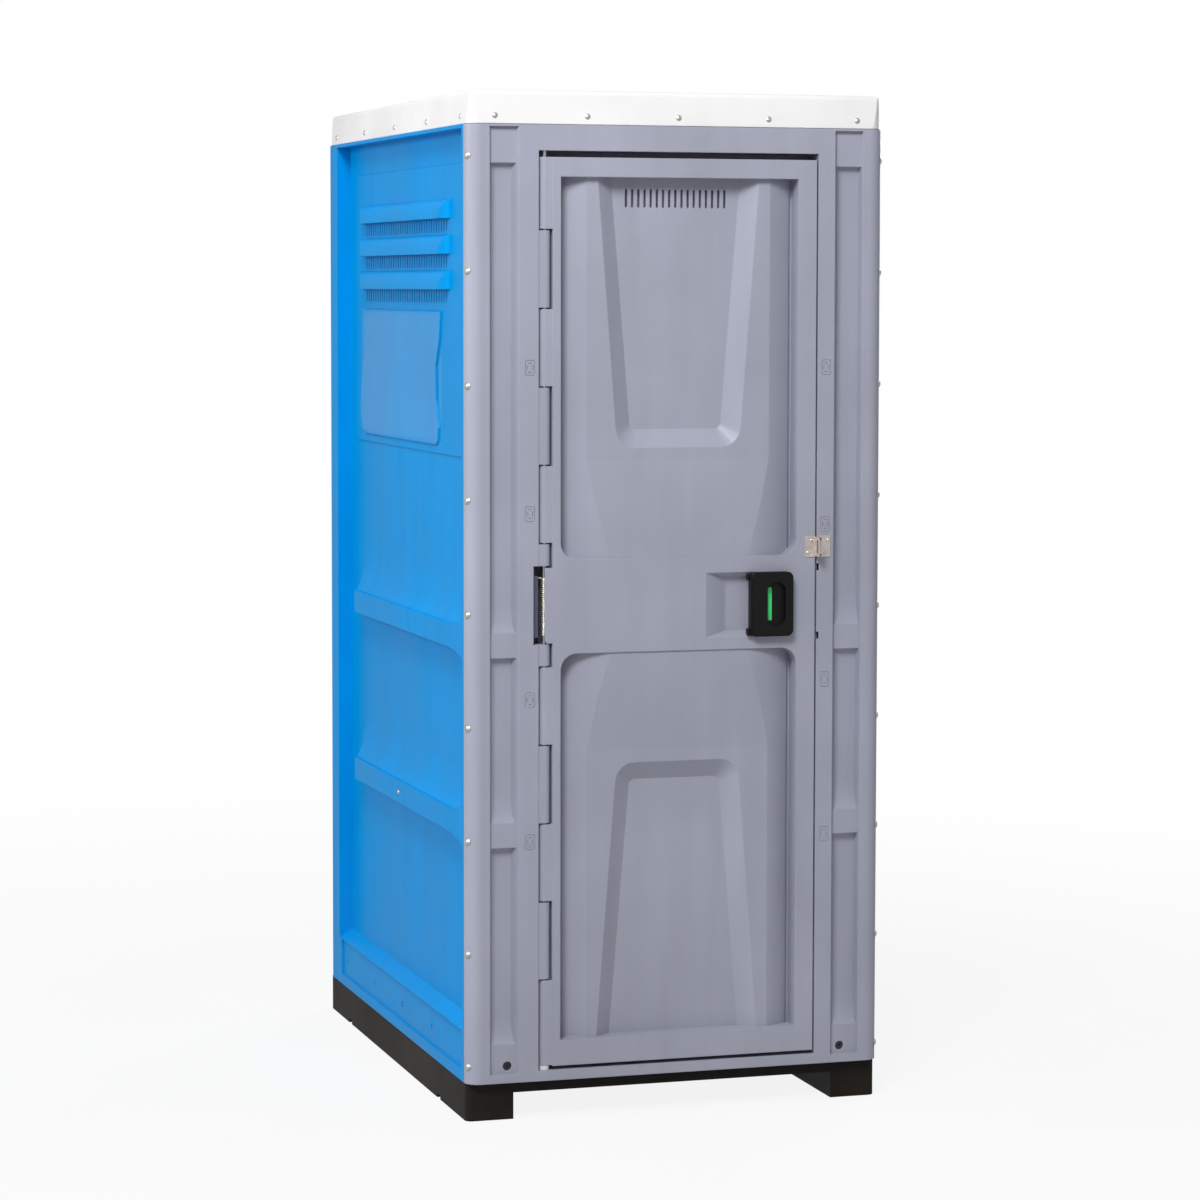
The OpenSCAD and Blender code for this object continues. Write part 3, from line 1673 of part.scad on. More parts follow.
base_pallet();
shower_tray();
drain_grate();
drain_body();
waste_pipe();
front_frame();
left_wall();
right_wall();
back_wall();
roof_cap();
roof_rivets();
corner_rivets();
back_rivets();
skirt_screws();
ledge_rivets();
anchor_brackets();
frame_bolts();
deck_bolts();
jamb_clips();
hinge_rod();
hinge_bush();
door_spring();
spring_bracket();
door_seal();
strike_plate();
hasp_frame();
hasp_rivets(hasp_frame_spots);  // hasp_frame_rivets
door_outer_skin();
door_inner_skin();
door_screws();
lock_body();
lock_guide();
lock_inner_plate();
lock_screws();
hasp_door();
hasp_rivets(hasp_door_spots);  // hasp_door_rivets
inner_pull();
latch_bolt();
indicator_green();
indicator_red();
latch_knob();
mixer_body();
inlet_pipes();
wall_flanges();
hot_ring();
cold_ring();
riser_pipe();
pipe_clips();
shower_arm();
soap_shelf();
hook_rail();
knob(-1);  // flow_knob
knob(1);  // temp_knob
shower_head();
spray_nozzles();
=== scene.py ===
"""Looks of the portable shower cabin: its finishes, the wound closing spring and the stage.

Metres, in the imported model's own frame: +Z up, the door faces -Y, the hinge is on the -X side.
"""

from math import pi, radians

import bpy
from mathutils import Matrix, Vector


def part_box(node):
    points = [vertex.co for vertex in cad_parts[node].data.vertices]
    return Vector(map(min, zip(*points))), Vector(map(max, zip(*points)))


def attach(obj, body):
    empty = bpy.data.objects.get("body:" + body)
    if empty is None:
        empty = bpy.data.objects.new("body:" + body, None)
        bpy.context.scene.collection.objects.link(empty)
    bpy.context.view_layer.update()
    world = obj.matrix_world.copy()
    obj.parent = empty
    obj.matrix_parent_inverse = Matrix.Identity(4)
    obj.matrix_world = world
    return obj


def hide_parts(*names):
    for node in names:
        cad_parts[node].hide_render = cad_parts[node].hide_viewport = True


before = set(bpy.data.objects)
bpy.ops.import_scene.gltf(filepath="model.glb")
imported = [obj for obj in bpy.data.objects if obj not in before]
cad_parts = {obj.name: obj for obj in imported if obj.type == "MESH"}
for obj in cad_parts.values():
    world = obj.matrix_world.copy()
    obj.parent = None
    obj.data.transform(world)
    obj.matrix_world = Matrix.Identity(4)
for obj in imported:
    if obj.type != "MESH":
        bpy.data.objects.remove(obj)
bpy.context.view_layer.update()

bl_info = {
    "name": "Portable shower cabin",
    "version": (1, 0, 0),
    "blender": (4, 5, 0),
    "location": "View3D > Sidebar > Cabin",
    "description": "Dresses the packed shower cabin and sets its stage",
    "category": "Object",
}

MM = 0.001

# How finely edges are softened
EDGE_SAMPLES = 4

# The spring: sides of its round wire, steps in one curl, the angle under which it is shaded smooth,
# and how near two vertices are that become one
WIRE_SIDES = 12
COIL_STEPS = 18
SMOOTH_ANGLE = radians(50)
WELD = 0.01 * MM

# The smooth pad under the louvres: its middle, half its size, how far in from its sides and from its top and
# foot its gloss is full, and its gleam
PAD_MIDDLE_Y = 58 * MM
PAD_MIDDLE_Z = 1653 * MM
PAD_HALF_LENGTH = 405 * MM
PAD_HALF_HEIGHT = 158 * MM
PAD_FADE_ALONG = 20 * MM
PAD_FADE_UP = 18 * MM
PAD_GLEAM = 0.09

# The inlets' half inch thread, from crest to crest, and how far it is cut in from the outer ends
THREAD_PITCH = 1.81 * MM
THREAD_LENGTH = 22 * MM

# The camera, solved from the photograph's perspective
CAMERA_PLACE = (-2.547, -8.418, 1.860)
CAMERA_YAW = radians(17.002)
CAMERA_PITCH = radians(-3.964)
CAMERA_ROLL = radians(0.093)
CAMERA_LENS = 108.96
CAMERA_SHIFT = -0.05
CAMERA_SENSOR = 36
CAMERA_REACH = 200

# The world is white to the camera and this strong as light, and gloss meets it this share of the way between
WORLD_LIGHT = 0.30
GLOSS_SHARE = 0.3

# The floor lies this far under the skids. Its own white grows from a share of white to all of it between two
# distances in metres
FLOOR_DROP = 0.5 * MM
FLOOR_NEAR = 1.5
FLOOR_FAR = 5.0
FLOOR_WHITE = 0.88

# Soft boxes: name, place, aim, side in metres, watts and tint
SOFT_BOXES = (
    ("key", (-2.2, -4.2, 5.0), (0, -0.7, 1.9), 1.8, 265, (0.98, 0.99, 1.0)),
    ("side", (-6.0, -0.6, 3.4), (-0.5, 0, 1.2), 2.4, 150, (1.0, 1.0, 1.0)),
    ("fill", (4.6, 4.8, 3.6), (0, 0, 1.2), 2.6, 230, (0.98, 0.99, 1.0)),
)


def linear(hex_colour):
    """An sRGB hex colour as linear red, green, blue and alpha."""
    values = [int(hex_colour[i : i + 2], 16) / 255 for i in (1, 3, 5)]
    return [v / 12.92 if v <= 0.04045 else ((v + 0.055) / 1.055) ** 2.4 for v in values] + [1.0]


def colour_property(name, description, hex_colour):
    """A colour that the panel shows."""
    return bpy.props.FloatVectorProperty(
        name=name, description=description, default=linear(hex_colour), size=4, min=0, max=1, subtype="COLOR"
    )


def length_property(name, description, metres):
    """A length that the panel shows."""
    return bpy.props.FloatProperty(name=name, description=description, default=metres, min=0, unit="LENGTH")


class CabinColours(bpy.types.PropertyGroup):
    """Colours that a buyer of the cabin picks, and those of its fittings."""

    walls: colour_property("Walls", "Colour of the side and back walls", "#008FD7")
    front: colour_property("Front", "Colour of the front frame and the door", "#9FA1B0")
    roof: colour_property("Roof", "Colour of the roof cap", "#E8E6E6")
    base: colour_property("Base", "Colour of the base and its skids", "#15100D")
    tray: colour_property("Tray", "Colour of the shower tray", "#DCDEDD")
    lock: colour_property("Lock", "Colour of the lock's black parts", "#060506")
    free: colour_property("Free", "Indicator colour that shows when the cabin is free", "#48FF8C")
    taken: colour_property("Taken", "Indicator colour that shows when the cabin is locked", "#C2201C")
    spring: colour_property("Spring", "Colour of the spring's passivated wire", "#E4DFD2")


class CabinSizes(bpy.types.PropertyGroup):
    """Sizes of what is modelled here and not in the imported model."""

    moulded_round: length_property("Moulded edge", "Radius that a moulded edge shows", 3.0 * MM)
    metal_round: length_property("Metal edge", "Radius that a metal edge shows", 0.4 * MM)
    coil_radius: length_property("Coil radius", "Radius of the spring's coil at the wire's middle", 7.6 * MM)
    wire_radius: length_property("Wire radius", "Radius of the spring's wire", 1.7 * MM)
    coil_turns: bpy.props.IntProperty(name="Curls", description="Curls of the spring", default=30, min=1)
    floor_size: length_property("Floor", "Side of the floor", 60.0)


# Node trees


def add(tree, kind, *values, out=0, sockets=None, **settings):
    """Adds a node with its settings and links, and returns one of its outputs.

    Values fill its first sockets in order, and sockets fills others by name. Each is a plain value or another
    node's output.
    """
    made = tree.nodes.new("ShaderNode" + kind)
    for name, value in settings.items():
        setattr(made, name, value)
    for key, value in [*enumerate(values), *(sockets or {}).items()]:
        if isinstance(value, bpy.types.NodeSocket):
            tree.links.new(value, made.inputs[key])
        else:
            made.inputs[key].default_value = value
    return made.outputs[out] if made.outputs else None


def new_material(name):
    """An empty node material, its tree, and the piece's own coordinates."""
    made = bpy.data.materials.new(name)
    made.use_nodes = True
    tree = made.node_tree
    tree.nodes.clear()
    return made, tree, add(tree, "TexCoord", out="Object")


def edges(tree, radius):
    """The normal of a softened edge, and a mask that is 1 along such edges."""
    soft = add(tree, "Bevel", radius, samples=EDGE_SAMPLES)
    true = add(tree, "NewGeometry", out="Normal")
    same = add(tree, "VectorMath", soft, true, out="Value", operation="DOT_PRODUCT")
    return soft, add(tree, "MapRange", same, 0.99, 0.80, 0.0, 1.0)


def shade(colour, factor):
    """A linear colour made darker or lighter."""
    return [min(v * factor, 1.0) for v in colour[:3]] + [1.0]


# Materials, each named for what the real surface is


def moulded_polyethylene(
    name, colour, rough, gleam, rubbed_and_highlight, dust, wave=0.25 * MM, grain=0.05 * MM, streaked=0.5, polished=0.0
):
    """Polyethylene formed in a mould: soft gloss in slow clouds, long waves, a fine skin and edges painted
    paler.

    rough and gleam set its shine. rubbed_and_highlight sets how much paler its edges are painted, partly from
    rubbing and partly a painted highlight, and dust sets its wear. wave and grain are the depths of its bumps
    in metres. streaked is the strength of its upright streaks, and polished how much smoother its pad is.
    """
    if name in bpy.data.materials:
        return bpy.data.materials[name]
    made, tree, place = new_material(name)
    normal, edge = edges(tree, bpy.context.scene.cabin_sizes.moulded_round)
    # clouds as wide as two hands, from sheet that cooled unevenly
    cloud = add(tree, "TexNoise", place, sockets={"Scale": 1 / 0.35, "Detail": 3.0})
    # upright streaks about 60 mm wide, from the way that the sheet sagged in its oven
    drawn = add(tree, "Mapping", place, sockets={"Scale": (1, 1, 0.1)})
    streak = add(tree, "TexNoise", drawn, sockets={"Scale": 1 / (60 * MM), "Detail": 3.0})
    # long waves that bend the reflections, a hand apart
    slow = add(tree, "TexNoise", place, sockets={"Scale": 1 / 0.20, "Detail": 0.0})
    # the skin's real grain is under 1 mm: it is drawn at 4 mm so that it shows
    skin = add(tree, "TexNoise", place, sockets={"Scale": 1 / (4 * MM), "Detail": 2.0})
    normal = add(tree, "Bump", sockets={"Height": slow, "Distance": wave, "Normal": normal})
    normal = add(tree, "Bump", sockets={"Height": skin, "Distance": grain, "Normal": normal})
    clouded = add(tree, "MapRange", cloud, 0.35, 0.65, 0.0, 1.0)
    tone = add(tree, "MixRGB", clouded, shade(colour, 0.95), shade(colour, 1.05))
    sagged = add(tree, "MapRange", streak, 0.45, 0.75, 0.0, streaked)
    tone = add(tree, "MixRGB", sagged, tone, shade(colour, 0.88))
    # edges painted paler: partly rubbed by handling, partly a painted highlight along them
    patch = add(tree, "TexNoise", place, sockets={"Scale": 1 / (30 * MM), "Detail": 3.0})
    worn_and_highlit = add(tree, "Math", edge, patch, operation="MULTIPLY")
    paler = add(tree, "MapRange", worn_and_highlit, 0.15, 0.75, 0.0, rubbed_and_highlight)
    tone = add(tree, "MixRGB", paler, tone, shade(colour, 1.5))
    # grey-brown dust, thickest at the foot and gone by knee height
    height = add(tree, "SeparateXYZ", place, out="Z")
    low = add(tree, "MapRange", height, 0.55, 0.02, 0.0, dust)
    settled = add(tree, "TexNoise", place, sockets={"Scale": 1 / (60 * MM), "Detail": 5.0})
    dusty = add(tree, "Math", low, settled, operation="MULTIPLY")
    tone = add(tree, "MixRGB", dusty, tone, linear("#8C8378"))
    gloss = add(tree, "MapRange", cloud, 0.3, 0.7, rough - 0.05, rough + 0.06)
    if polished:
        # the smooth pad under the louvres is glossier
        middle = (0.0, PAD_MIDDLE_Y, PAD_MIDDLE_Z)
        apart = add(tree, "VectorMath", place, middle, operation="SUBTRACT")
        far = add(tree, "VectorMath", apart, operation="ABSOLUTE")
        across = add(tree, "SeparateXYZ", far, out="Y")
        upward = add(tree, "SeparateXYZ", far, out="Z")
        full_along = PAD_HALF_LENGTH - PAD_FADE_ALONG
        full_up = PAD_HALF_HEIGHT - PAD_FADE_UP
        within = add(tree, "MapRange", across, PAD_HALF_LENGTH, full_along, 0.0, polished)
        inside = add(tree, "MapRange", upward, PAD_HALF_HEIGHT, full_up, 0.0, 1.0)
        smooth = add(tree, "Math", within, inside, operation="MULTIPLY")
        gloss = add(tree, "Math", gloss, smooth, operation="SUBTRACT")
        gleam = add(tree, "MapRange", smooth, 0.0, polished, gleam, PAD_GLEAM)
    shader = add(tree, "BsdfPrincipled", sockets={
        "Base Color": tone, "Roughness": gloss, "IOR": 1.54, "Specular IOR Level": gleam, "Normal": normal,
    })
    add(tree, "OutputMaterial", shader)
    return made


def wall_polyethylene():
    """Blue sheet: deep even colour, with light sliding over it in long soft shapes and a polished pad."""
    colour = bpy.context.scene.cabin_colours.walls
    return moulded_polyethylene(
        "blue_polyethylene", colour, rough=0.33, gleam=0.025, rubbed_and_highlight=0.10, dust=0.05, polished=0.16
    )


def front_polyethylene():
    """Lilac-grey sheet with a satin face."""
    colour = bpy.context.scene.cabin_colours.front
    return moulded_polyethylene("grey_polyethylene", colour, rough=0.42, gleam=0.30, rubbed_and_highlight=0.25, dust=0.05)


def roof_polyethylene():
    """White sheet, a little chalky."""
    colour = bpy.context.scene.cabin_colours.roof
    return moulded_polyethylene(
        "white_polyethylene", colour, rough=0.50, gleam=0.40, rubbed_and_highlight=0.05, dust=0.0, streaked=0.15
    )


def base_polyethylene():
    """Recycled black-brown polyethylene, thick, and scuffed by truck beds and ground."""
    colour = bpy.context.scene.cabin_colours.base
    return moulded_polyethylene(
        "base_polyethylene", colour, rough=0.55, gleam=0.12, rubbed_and_highlight=0.35, dust=0.05,
        wave=0.6 * MM, grain=0.15 * MM,
    )


def tray_acrylic(name="tray_acrylic"):
    """Off-white cast or turned plastic, clean and evenly satin, with faint water marks."""
    made, tree, place = new_material(name)
    normal = add(tree, "Bevel", 2 * MM, samples=EDGE_SAMPLES)
    marks = add(tree, "TexNoise", place, sockets={"Scale": 1 / (45 * MM), "Detail": 6.0})
    # an anti-slip grain of 3 mm
    grip = add(tree, "TexNoise", place, sockets={"Scale": 1 / (3 * MM), "Detail": 2.0})
    colour = bpy.context.scene.cabin_colours.tray
    dried = add(tree, "MapRange", marks, 0.5, 0.8, 0.0, 1.0)
    tone = add(tree, "MixRGB", dried, colour, shade(colour, 0.97))
    gloss = add(tree, "MapRange", marks, 0.3, 0.7, 0.32, 0.44)
    normal = add(tree, "Bump", sockets={"Height": grip, "Distance": 0.012 * MM, "Normal": normal})
    shader = add(tree, "BsdfPrincipled", sockets={
        "Base Color": tone, "Roughness": gloss, "IOR": 1.49, "Normal": normal,
    })
    add(tree, "OutputMaterial", shader)
    return made


def black_nylon():
    """Glass-filled nylon of the lock: a fine eroded grain that kills the gloss, and edges painted paler,
    partly where hands rub and partly a painted highlight.
    """
    made, tree, place = new_material("black_nylon")
    normal, edge = edges(tree, 1.2 * MM)
    colour = bpy.context.scene.cabin_colours.lock
    # the real grain is about 0.2 mm: it is drawn at 1.5 mm so that it shows
    grain = add(tree, "TexNoise", place, sockets={"Scale": 1 / (1.5 * MM), "Detail": 2.0})
    # edges painted paler: rubbing and a painted highlight
    rubbed_and_highlight = add(tree, "MapRange", edge, 0.2, 1.0, 0.0, 0.25)
    tone = add(tree, "MixRGB", rubbed_and_highlight, colour, linear("#3A383A"))
    gloss = add(tree, "MapRange", grain, 0.3, 0.7, 0.38, 0.52)
    normal = add(tree, "Bump", sockets={"Height": grain, "Distance": 0.05 * MM, "Normal": normal})
    shader = add(tree, "BsdfPrincipled", sockets={
        "Base Color": tone, "Roughness": gloss, "IOR": 1.53, "Specular IOR Level": 0.25, "Normal": normal,
    })
    add(tree, "OutputMaterial", shader)
    return made


def indicator_acrylic(name, colour):
    """A dyed acrylic tab: glossy, with fine sliding scratches along it and a painted highlight along its
    edges.
    """
    made, tree, place = new_material(name)
    normal, edge = edges(tree, 0.9 * MM)
    drawn = add(tree, "Mapping", place, sockets={"Scale": (0.1, 1, 1)})
    scratch = add(tree, "TexNoise", drawn, sockets={"Scale": 1 / (1.2 * MM), "Detail": 2.0})
    scored = add(tree, "MapRange", scratch, 0.55, 0.8, 0.0, 0.4)
    tone = add(tree, "MixRGB", scored, colour, shade(colour, 1.25))
    # a painted highlight along the edges, nearly white
    cut = add(tree, "MapRange", edge, 0.3, 1.0, 0.0, 0.8)
    tone = add(tree, "MixRGB", cut, tone, linear("#DDE6DF"))
    gloss = add(tree, "MapRange", scratch, 0.3, 0.7, 0.16, 0.30)
    shader = add(tree, "BsdfPrincipled", sockets={
        "Base Color": tone, "Roughness": gloss, "IOR": 1.49, "Normal": normal,
    })
    add(tree, "OutputMaterial", shader)
    return made


def metal(name, colour, rough, spacing, stretch=(1, 1, 1), tarnish=0.2):
    """A metal whose gloss varies with its rolling or brushing marks, with a faint bloom and a painted
    highlight along its edges.

    spacing is the distance between its marks in metres, and stretch draws them out along an axis.
    """
    made, tree, place = new_material(name)
    normal, edge = edges(tree, bpy.context.scene.cabin_sizes.metal_round)
    drawn = add(tree, "Mapping", place, sockets={"Scale": stretch})
    marks = add(tree, "TexNoise", drawn, sockets={"Scale": 1 / spacing, "Detail": 3.0})
    bloom = add(tree, "TexNoise", place, sockets={"Scale": 1 / (25 * MM), "Detail": 4.0})
    dulled = add(tree, "MapRange", bloom, 0.45, 0.75, 0.0, tarnish)
    tone = add(tree, "MixRGB", dulled, colour, shade(colour, 0.62))
    # a painted highlight along the edges
    edge_highlight = add(tree, "MapRange", edge, 0.2, 1.0, 0.0, 0.5)
    tone = add(tree, "MixRGB", edge_highlight, tone, shade(colour, 1.2))
    gloss = add(tree, "MapRange", marks, 0.3, 0.7, rough * 0.75, rough * 1.35)
    normal = add(tree, "Bump", sockets={"Height": marks, "Distance": 0.02 * MM, "Normal": normal})
    shader = add(tree, "BsdfPrincipled", sockets={
        "Base Color": tone, "Metallic": 1.0, "Roughness": gloss, "Normal": normal,
    })
    add(tree, "OutputMaterial", shader)
    return made


def threaded_brass():
    """Bare brass pipe with its half inch thread, 1.81 mm from crest to crest, cut round the outer ends."""
    made, tree, place = new_material("bare_brass")
    along = add(tree, "SeparateXYZ", place, out="Y")
    turned = add(tree, "Math", along, 2 * pi / THREAD_PITCH, operation="MULTIPLY")
    crest = add(tree, "Math", turned, operation="SINE")
    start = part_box("inlet_pipes")[1].y - THREAD_LENGTH
    cut = add(tree, "MapRange", along, start, start + 1 * MM, 0.0, 1.0)
    thread = add(tree, "Math", crest, cut, operation="MULTIPLY")
    dull = add(tree, "TexNoise", place, sockets={"Scale": 1 / (12 * MM), "Detail": 4.0})
    normal = add(tree, "Bevel", 0.4 * MM, samples=EDGE_SAMPLES)
    aged = add(tree, "MapRange", dull, 0.4, 0.7, 0.0, 0.5)
    tone = add(tree, "MixRGB", aged, linear("#C9A965"), linear("#8E6F3A"))
    gloss = add(tree, "MapRange", dull, 0.3, 0.7, 0.24, 0.42)
    normal = add(tree, "Bump", sockets={"Height": thread, "Distance": 0.5 * MM, "Normal": normal})
    shader = add(tree, "BsdfPrincipled", sockets={
        "Base Color": tone, "Metallic": 1.0, "Roughness": gloss, "Normal": normal,
    })
    add(tree, "OutputMaterial", shader)
    return made


def black_rubber(name, hex_colour):
    """Extruded rubber or silicone: dull, with a dusty bloom."""
    made, tree, place = new_material(name)
    bloom = add(tree, "TexNoise", place, sockets={"Scale": 1 / (18 * MM), "Detail": 5.0})
    normal = add(tree, "Bevel", 0.6 * MM, samples=EDGE_SAMPLES)
    dusty = add(tree, "MapRange", bloom, 0.4, 0.8, 0.0, 0.5)
    tone = add(tree, "MixRGB", dusty, linear(hex_colour), shade(linear(hex_colour), 2.2))
    gloss = add(tree, "MapRange", bloom, 0.3, 0.7, 0.6, 0.8)
    normal = add(tree, "Bump", sockets={"Height": bloom, "Distance": 0.05 * MM, "Normal": normal})
    shader = add(tree, "BsdfPrincipled", sockets={
        "Base Color": tone, "Roughness": gloss, "IOR": 1.52, "Normal": normal,
    })
    add(tree, "OutputMaterial", shader)
    return made


def pipe_vinyl():
    """Grey waste pipe vinyl, drawn out along its length."""
    made, tree, place = new_material("grey_vinyl")
    drawn = add(tree, "Mapping", place, sockets={"Scale": (1, 0.06, 1)})
    line = add(tree, "TexNoise", drawn, sockets={"Scale": 1 / (4 * MM), "Detail": 2.0})
    normal = add(tree, "Bevel", 0.8 * MM, samples=EDGE_SAMPLES)
    lined = add(tree, "MapRange", line, 0.4, 0.7, 0.0, 0.5)
    tone = add(tree, "MixRGB", lined, linear("#8E9092"), linear("#7C7E81"))
    gloss = add(tree, "MapRange", line, 0.3, 0.7, 0.32, 0.48)
    shader = add(tree, "BsdfPrincipled", sockets={
        "Base Color": tone, "Roughness": gloss, "IOR": 1.53, "Normal": normal,
    })
    add(tree, "OutputMaterial", shader)
    return made


def slate_paint():
    """Slate powder coat with its orange peel."""
    made, tree, place = new_material("slate_powder_coat")
    peel = add(tree, "TexNoise", place, sockets={"Scale": 1 / (2.5 * MM), "Detail": 1.0})
    normal, edge = edges(tree, 0.5 * MM)
    # edges painted paler: rubbed paint and a painted highlight
    rubbed_and_highlight = add(tree, "MapRange", edge, 0.4, 1.0, 0.0, 0.4)
    tone = add(tree, "MixRGB", rubbed_and_highlight, linear("#4B4E64"), linear("#7C8094"))
    gloss = add(tree, "MapRange", peel, 0.3, 0.7, 0.38, 0.5)
    normal = add(tree, "Bump", sockets={"Height": peel, "Distance": 0.06 * MM, "Normal": normal})
    shader = add(tree, "BsdfPrincipled", sockets={
        "Base Color": tone, "Roughness": gloss, "IOR": 1.5, "Normal": normal,
    })
    add(tree, "OutputMaterial", shader)
    return made


# Pieces


def dress(material, *nodes):
    """Gives CAD nodes one finish."""
    for name in nodes:
        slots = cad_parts[name].data.materials
        slots.clear()
        slots.append(material)


def only(piece):
    """Leaves one object selected and active."""
    bpy.ops.object.select_all(action="DESELECT")
    piece.select_set(True)
    bpy.context.view_layer.objects.active = piece


class CABIN_OT_walls(bpy.types.Operator):
    """Side and back walls in blue polyethylene"""

    bl_idname = "cabin.walls"
    bl_label = "Walls"

    def execute(self, context):
        dress(wall_polyethylene(), "left_wall", "right_wall", "back_wall")
        return {"FINISHED"}


class CABIN_OT_front_frame(bpy.types.Operator):
    """Front frame and its jamb clips in grey polyethylene"""

    bl_idname = "cabin.front_frame"
    bl_label = "Front frame"

    def execute(self, context):
        dress(front_polyethylene(), "front_frame", "jamb_clips")
        return {"FINISHED"}


class CABIN_OT_door(bpy.types.Operator):
    """Both skins of the door"""

    bl_idname = "cabin.door"
    bl_label = "Door"

    def execute(self, context):
        dress(front_polyethylene(), "door_outer_skin", "door_inner_skin")
        return {"FINISHED"}


class CABIN_OT_roof(bpy.types.Operator):
    """White roof cap"""

    bl_idname = "cabin.roof"
    bl_label = "Roof"

    def execute(self, context):
        dress(roof_polyethylene(), "roof_cap")
        return {"FINISHED"}


class CABIN_OT_base(bpy.types.Operator):
    """Base with its two skids"""

    bl_idname = "cabin.base"
    bl_label = "Base"

    def execute(self, context):
        dress(base_polyethylene(), "base_pallet")
        return {"FINISHED"}


class CABIN_OT_tray(bpy.types.Operator):
    """Shower tray, its grate and the waste under it"""

    bl_idname = "cabin.tray"
    bl_label = "Tray and waste"

    def execute(self, context):
        dress(tray_acrylic(), "shower_tray")
        dress(metal("stamped_stainless", linear("#C6C8CA"), rough=0.28, spacing=6 * MM), "drain_grate")
        dress(pipe_vinyl(), "drain_body", "waste_pipe")
        return {"FINISHED"}


class CABIN_OT_rivets(bpy.types.Operator):
    """Blind rivets of the roof, corners, walls and hasp in dull aluminium"""

    bl_idname = "cabin.rivets"
    bl_label = "Rivets"

    def execute(self, context):
        finish = metal("rivet_aluminium", linear("#CFCDC8"), rough=0.42, spacing=3 * MM, tarnish=0.35)
        names = ("roof_rivets", "corner_rivets", "back_rivets", "ledge_rivets")
        dress(finish, *names, "hasp_door_rivets", "hasp_frame_rivets")
        return {"FINISHED"}


class CABIN_OT_screws(bpy.types.Operator):
    """Screws, bolts and brackets, and the plastic fasteners of the skirt"""

    bl_idname = "cabin.screws"
    bl_label = "Screws and bolts"

    def execute(self, context):
        zinc = metal("zinc_plate", linear("#B4B7BB"), rough=0.38, spacing=4 * MM, tarnish=0.4)
        dress(zinc, "deck_bolts", "door_screws", "lock_screws", "anchor_brackets", "lock_guide")
        dress(metal("blackened_steel", linear("#4A4A50"), rough=0.4, spacing=4 * MM), "frame_bolts")
        blue = moulded_polyethylene(
            "blue_fastener", linear("#1F6CB2"), rough=0.35, gleam=0.4, rubbed_and_highlight=0.2, dust=0.05
        )
        dress(blue, "skirt_screws")
        return {"FINISHED"}


class CABIN_OT_hinge(bpy.types.Operator):
    """Hinge rod, its bush and the spring's bracket"""

    bl_idname = "cabin.hinge"
    bl_label = "Hinge"

    def execute(self, context):
        drawn = metal("drawn_stainless", linear("#C9CBCE"), rough=0.26, spacing=2 * MM, stretch=(1, 1, 0.05))
        dress(drawn, "hinge_rod")
        dress(tray_acrylic("white_acetal"), "hinge_bush")
        dress(slate_paint(), "spring_bracket")
        return {"FINISHED"}


class CABIN_OT_spring(bpy.types.Operator):
    """Closing spring wound on the hinge rod, with a leg at each end"""

    bl_idname = "cabin.spring"
    bl_label = "Closing spring"

    def execute(self, context):
        sizes = context.scene.cabin_sizes
        low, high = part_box("door_spring")
        rod_low, rod_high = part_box("hinge_rod")
        rod = (rod_low + rod_high) / 2
        start = low.z + sizes.wire_radius
        finish = high.z - sizes.wire_radius
        # a ring the size of the wire, turned up round the rod
        bpy.ops.object.select_all(action="DESELECT")
        bpy.ops.mesh.primitive_circle_add(
            vertices=WIRE_SIDES, radius=sizes.wire_radius, rotation=(0, pi / 2, 0),
            location=(rod.x, rod.y + sizes.coil_radius, start),
        )
        piece = context.object
        piece.name = "closing_spring"
        context.scene.cursor.location = (rod.x, rod.y, start)
        bpy.ops.object.transform_apply(location=False, rotation=True, scale=False)
        bpy.ops.object.origin_set(type="ORIGIN_CURSOR")
        bpy.ops.object.modifier_add(type="SCREW")
        coil = piece.modifiers[-1]
        coil.axis = "Z"
        coil.angle = 2 * pi
        coil.screw_offset = (finish - start) / sizes.coil_turns
        coil.iterations = sizes.coil_turns
        coil.steps = COIL_STEPS
        coil.render_steps = COIL_STEPS
        bpy.ops.object.modifier_apply(modifier=coil.name)
        bpy.ops.object.transform_apply(location=True, rotation=True, scale=True)
        # a leg at each end, drawn out level from the wire's cut and closed
        near = 1.2 * sizes.wire_radius
        for height, reach in ((start, high.x), (finish, low.x)):
            for vertex in piece.data.vertices:
                place = vertex.co
                cut = abs(place.x - rod.x) < WELD and place.y > rod.y
                vertex.select = cut and abs(place.z - height) < near
            bpy.ops.object.mode_set(mode="EDIT")
            bpy.ops.mesh.select_mode(type="VERT")
            bpy.ops.mesh.extrude_region_move(TRANSFORM_OT_translate={"value": (reach - rod.x, 0, 0)})
            bpy.ops.mesh.edge_face_add()
            bpy.ops.mesh.select_all(action="DESELECT")
            bpy.ops.object.mode_set(mode="OBJECT")
        bpy.ops.object.mode_set(mode="EDIT")
        bpy.ops.mesh.select_all(action="SELECT")
        bpy.ops.mesh.remove_doubles(threshold=WELD)
        bpy.ops.mesh.normals_make_consistent(inside=False)
        bpy.ops.object.mode_set(mode="OBJECT")
        bpy.ops.object.shade_smooth_by_angle(angle=SMOOTH_ANGLE)
        colour = context.scene.cabin_colours.spring
        wire = metal("passivated_wire", colour, rough=0.34, spacing=2 * MM)
        piece.data.materials.append(wire)
        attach(piece, "cabin")
        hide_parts("door_spring")
        return {"FINISHED"}


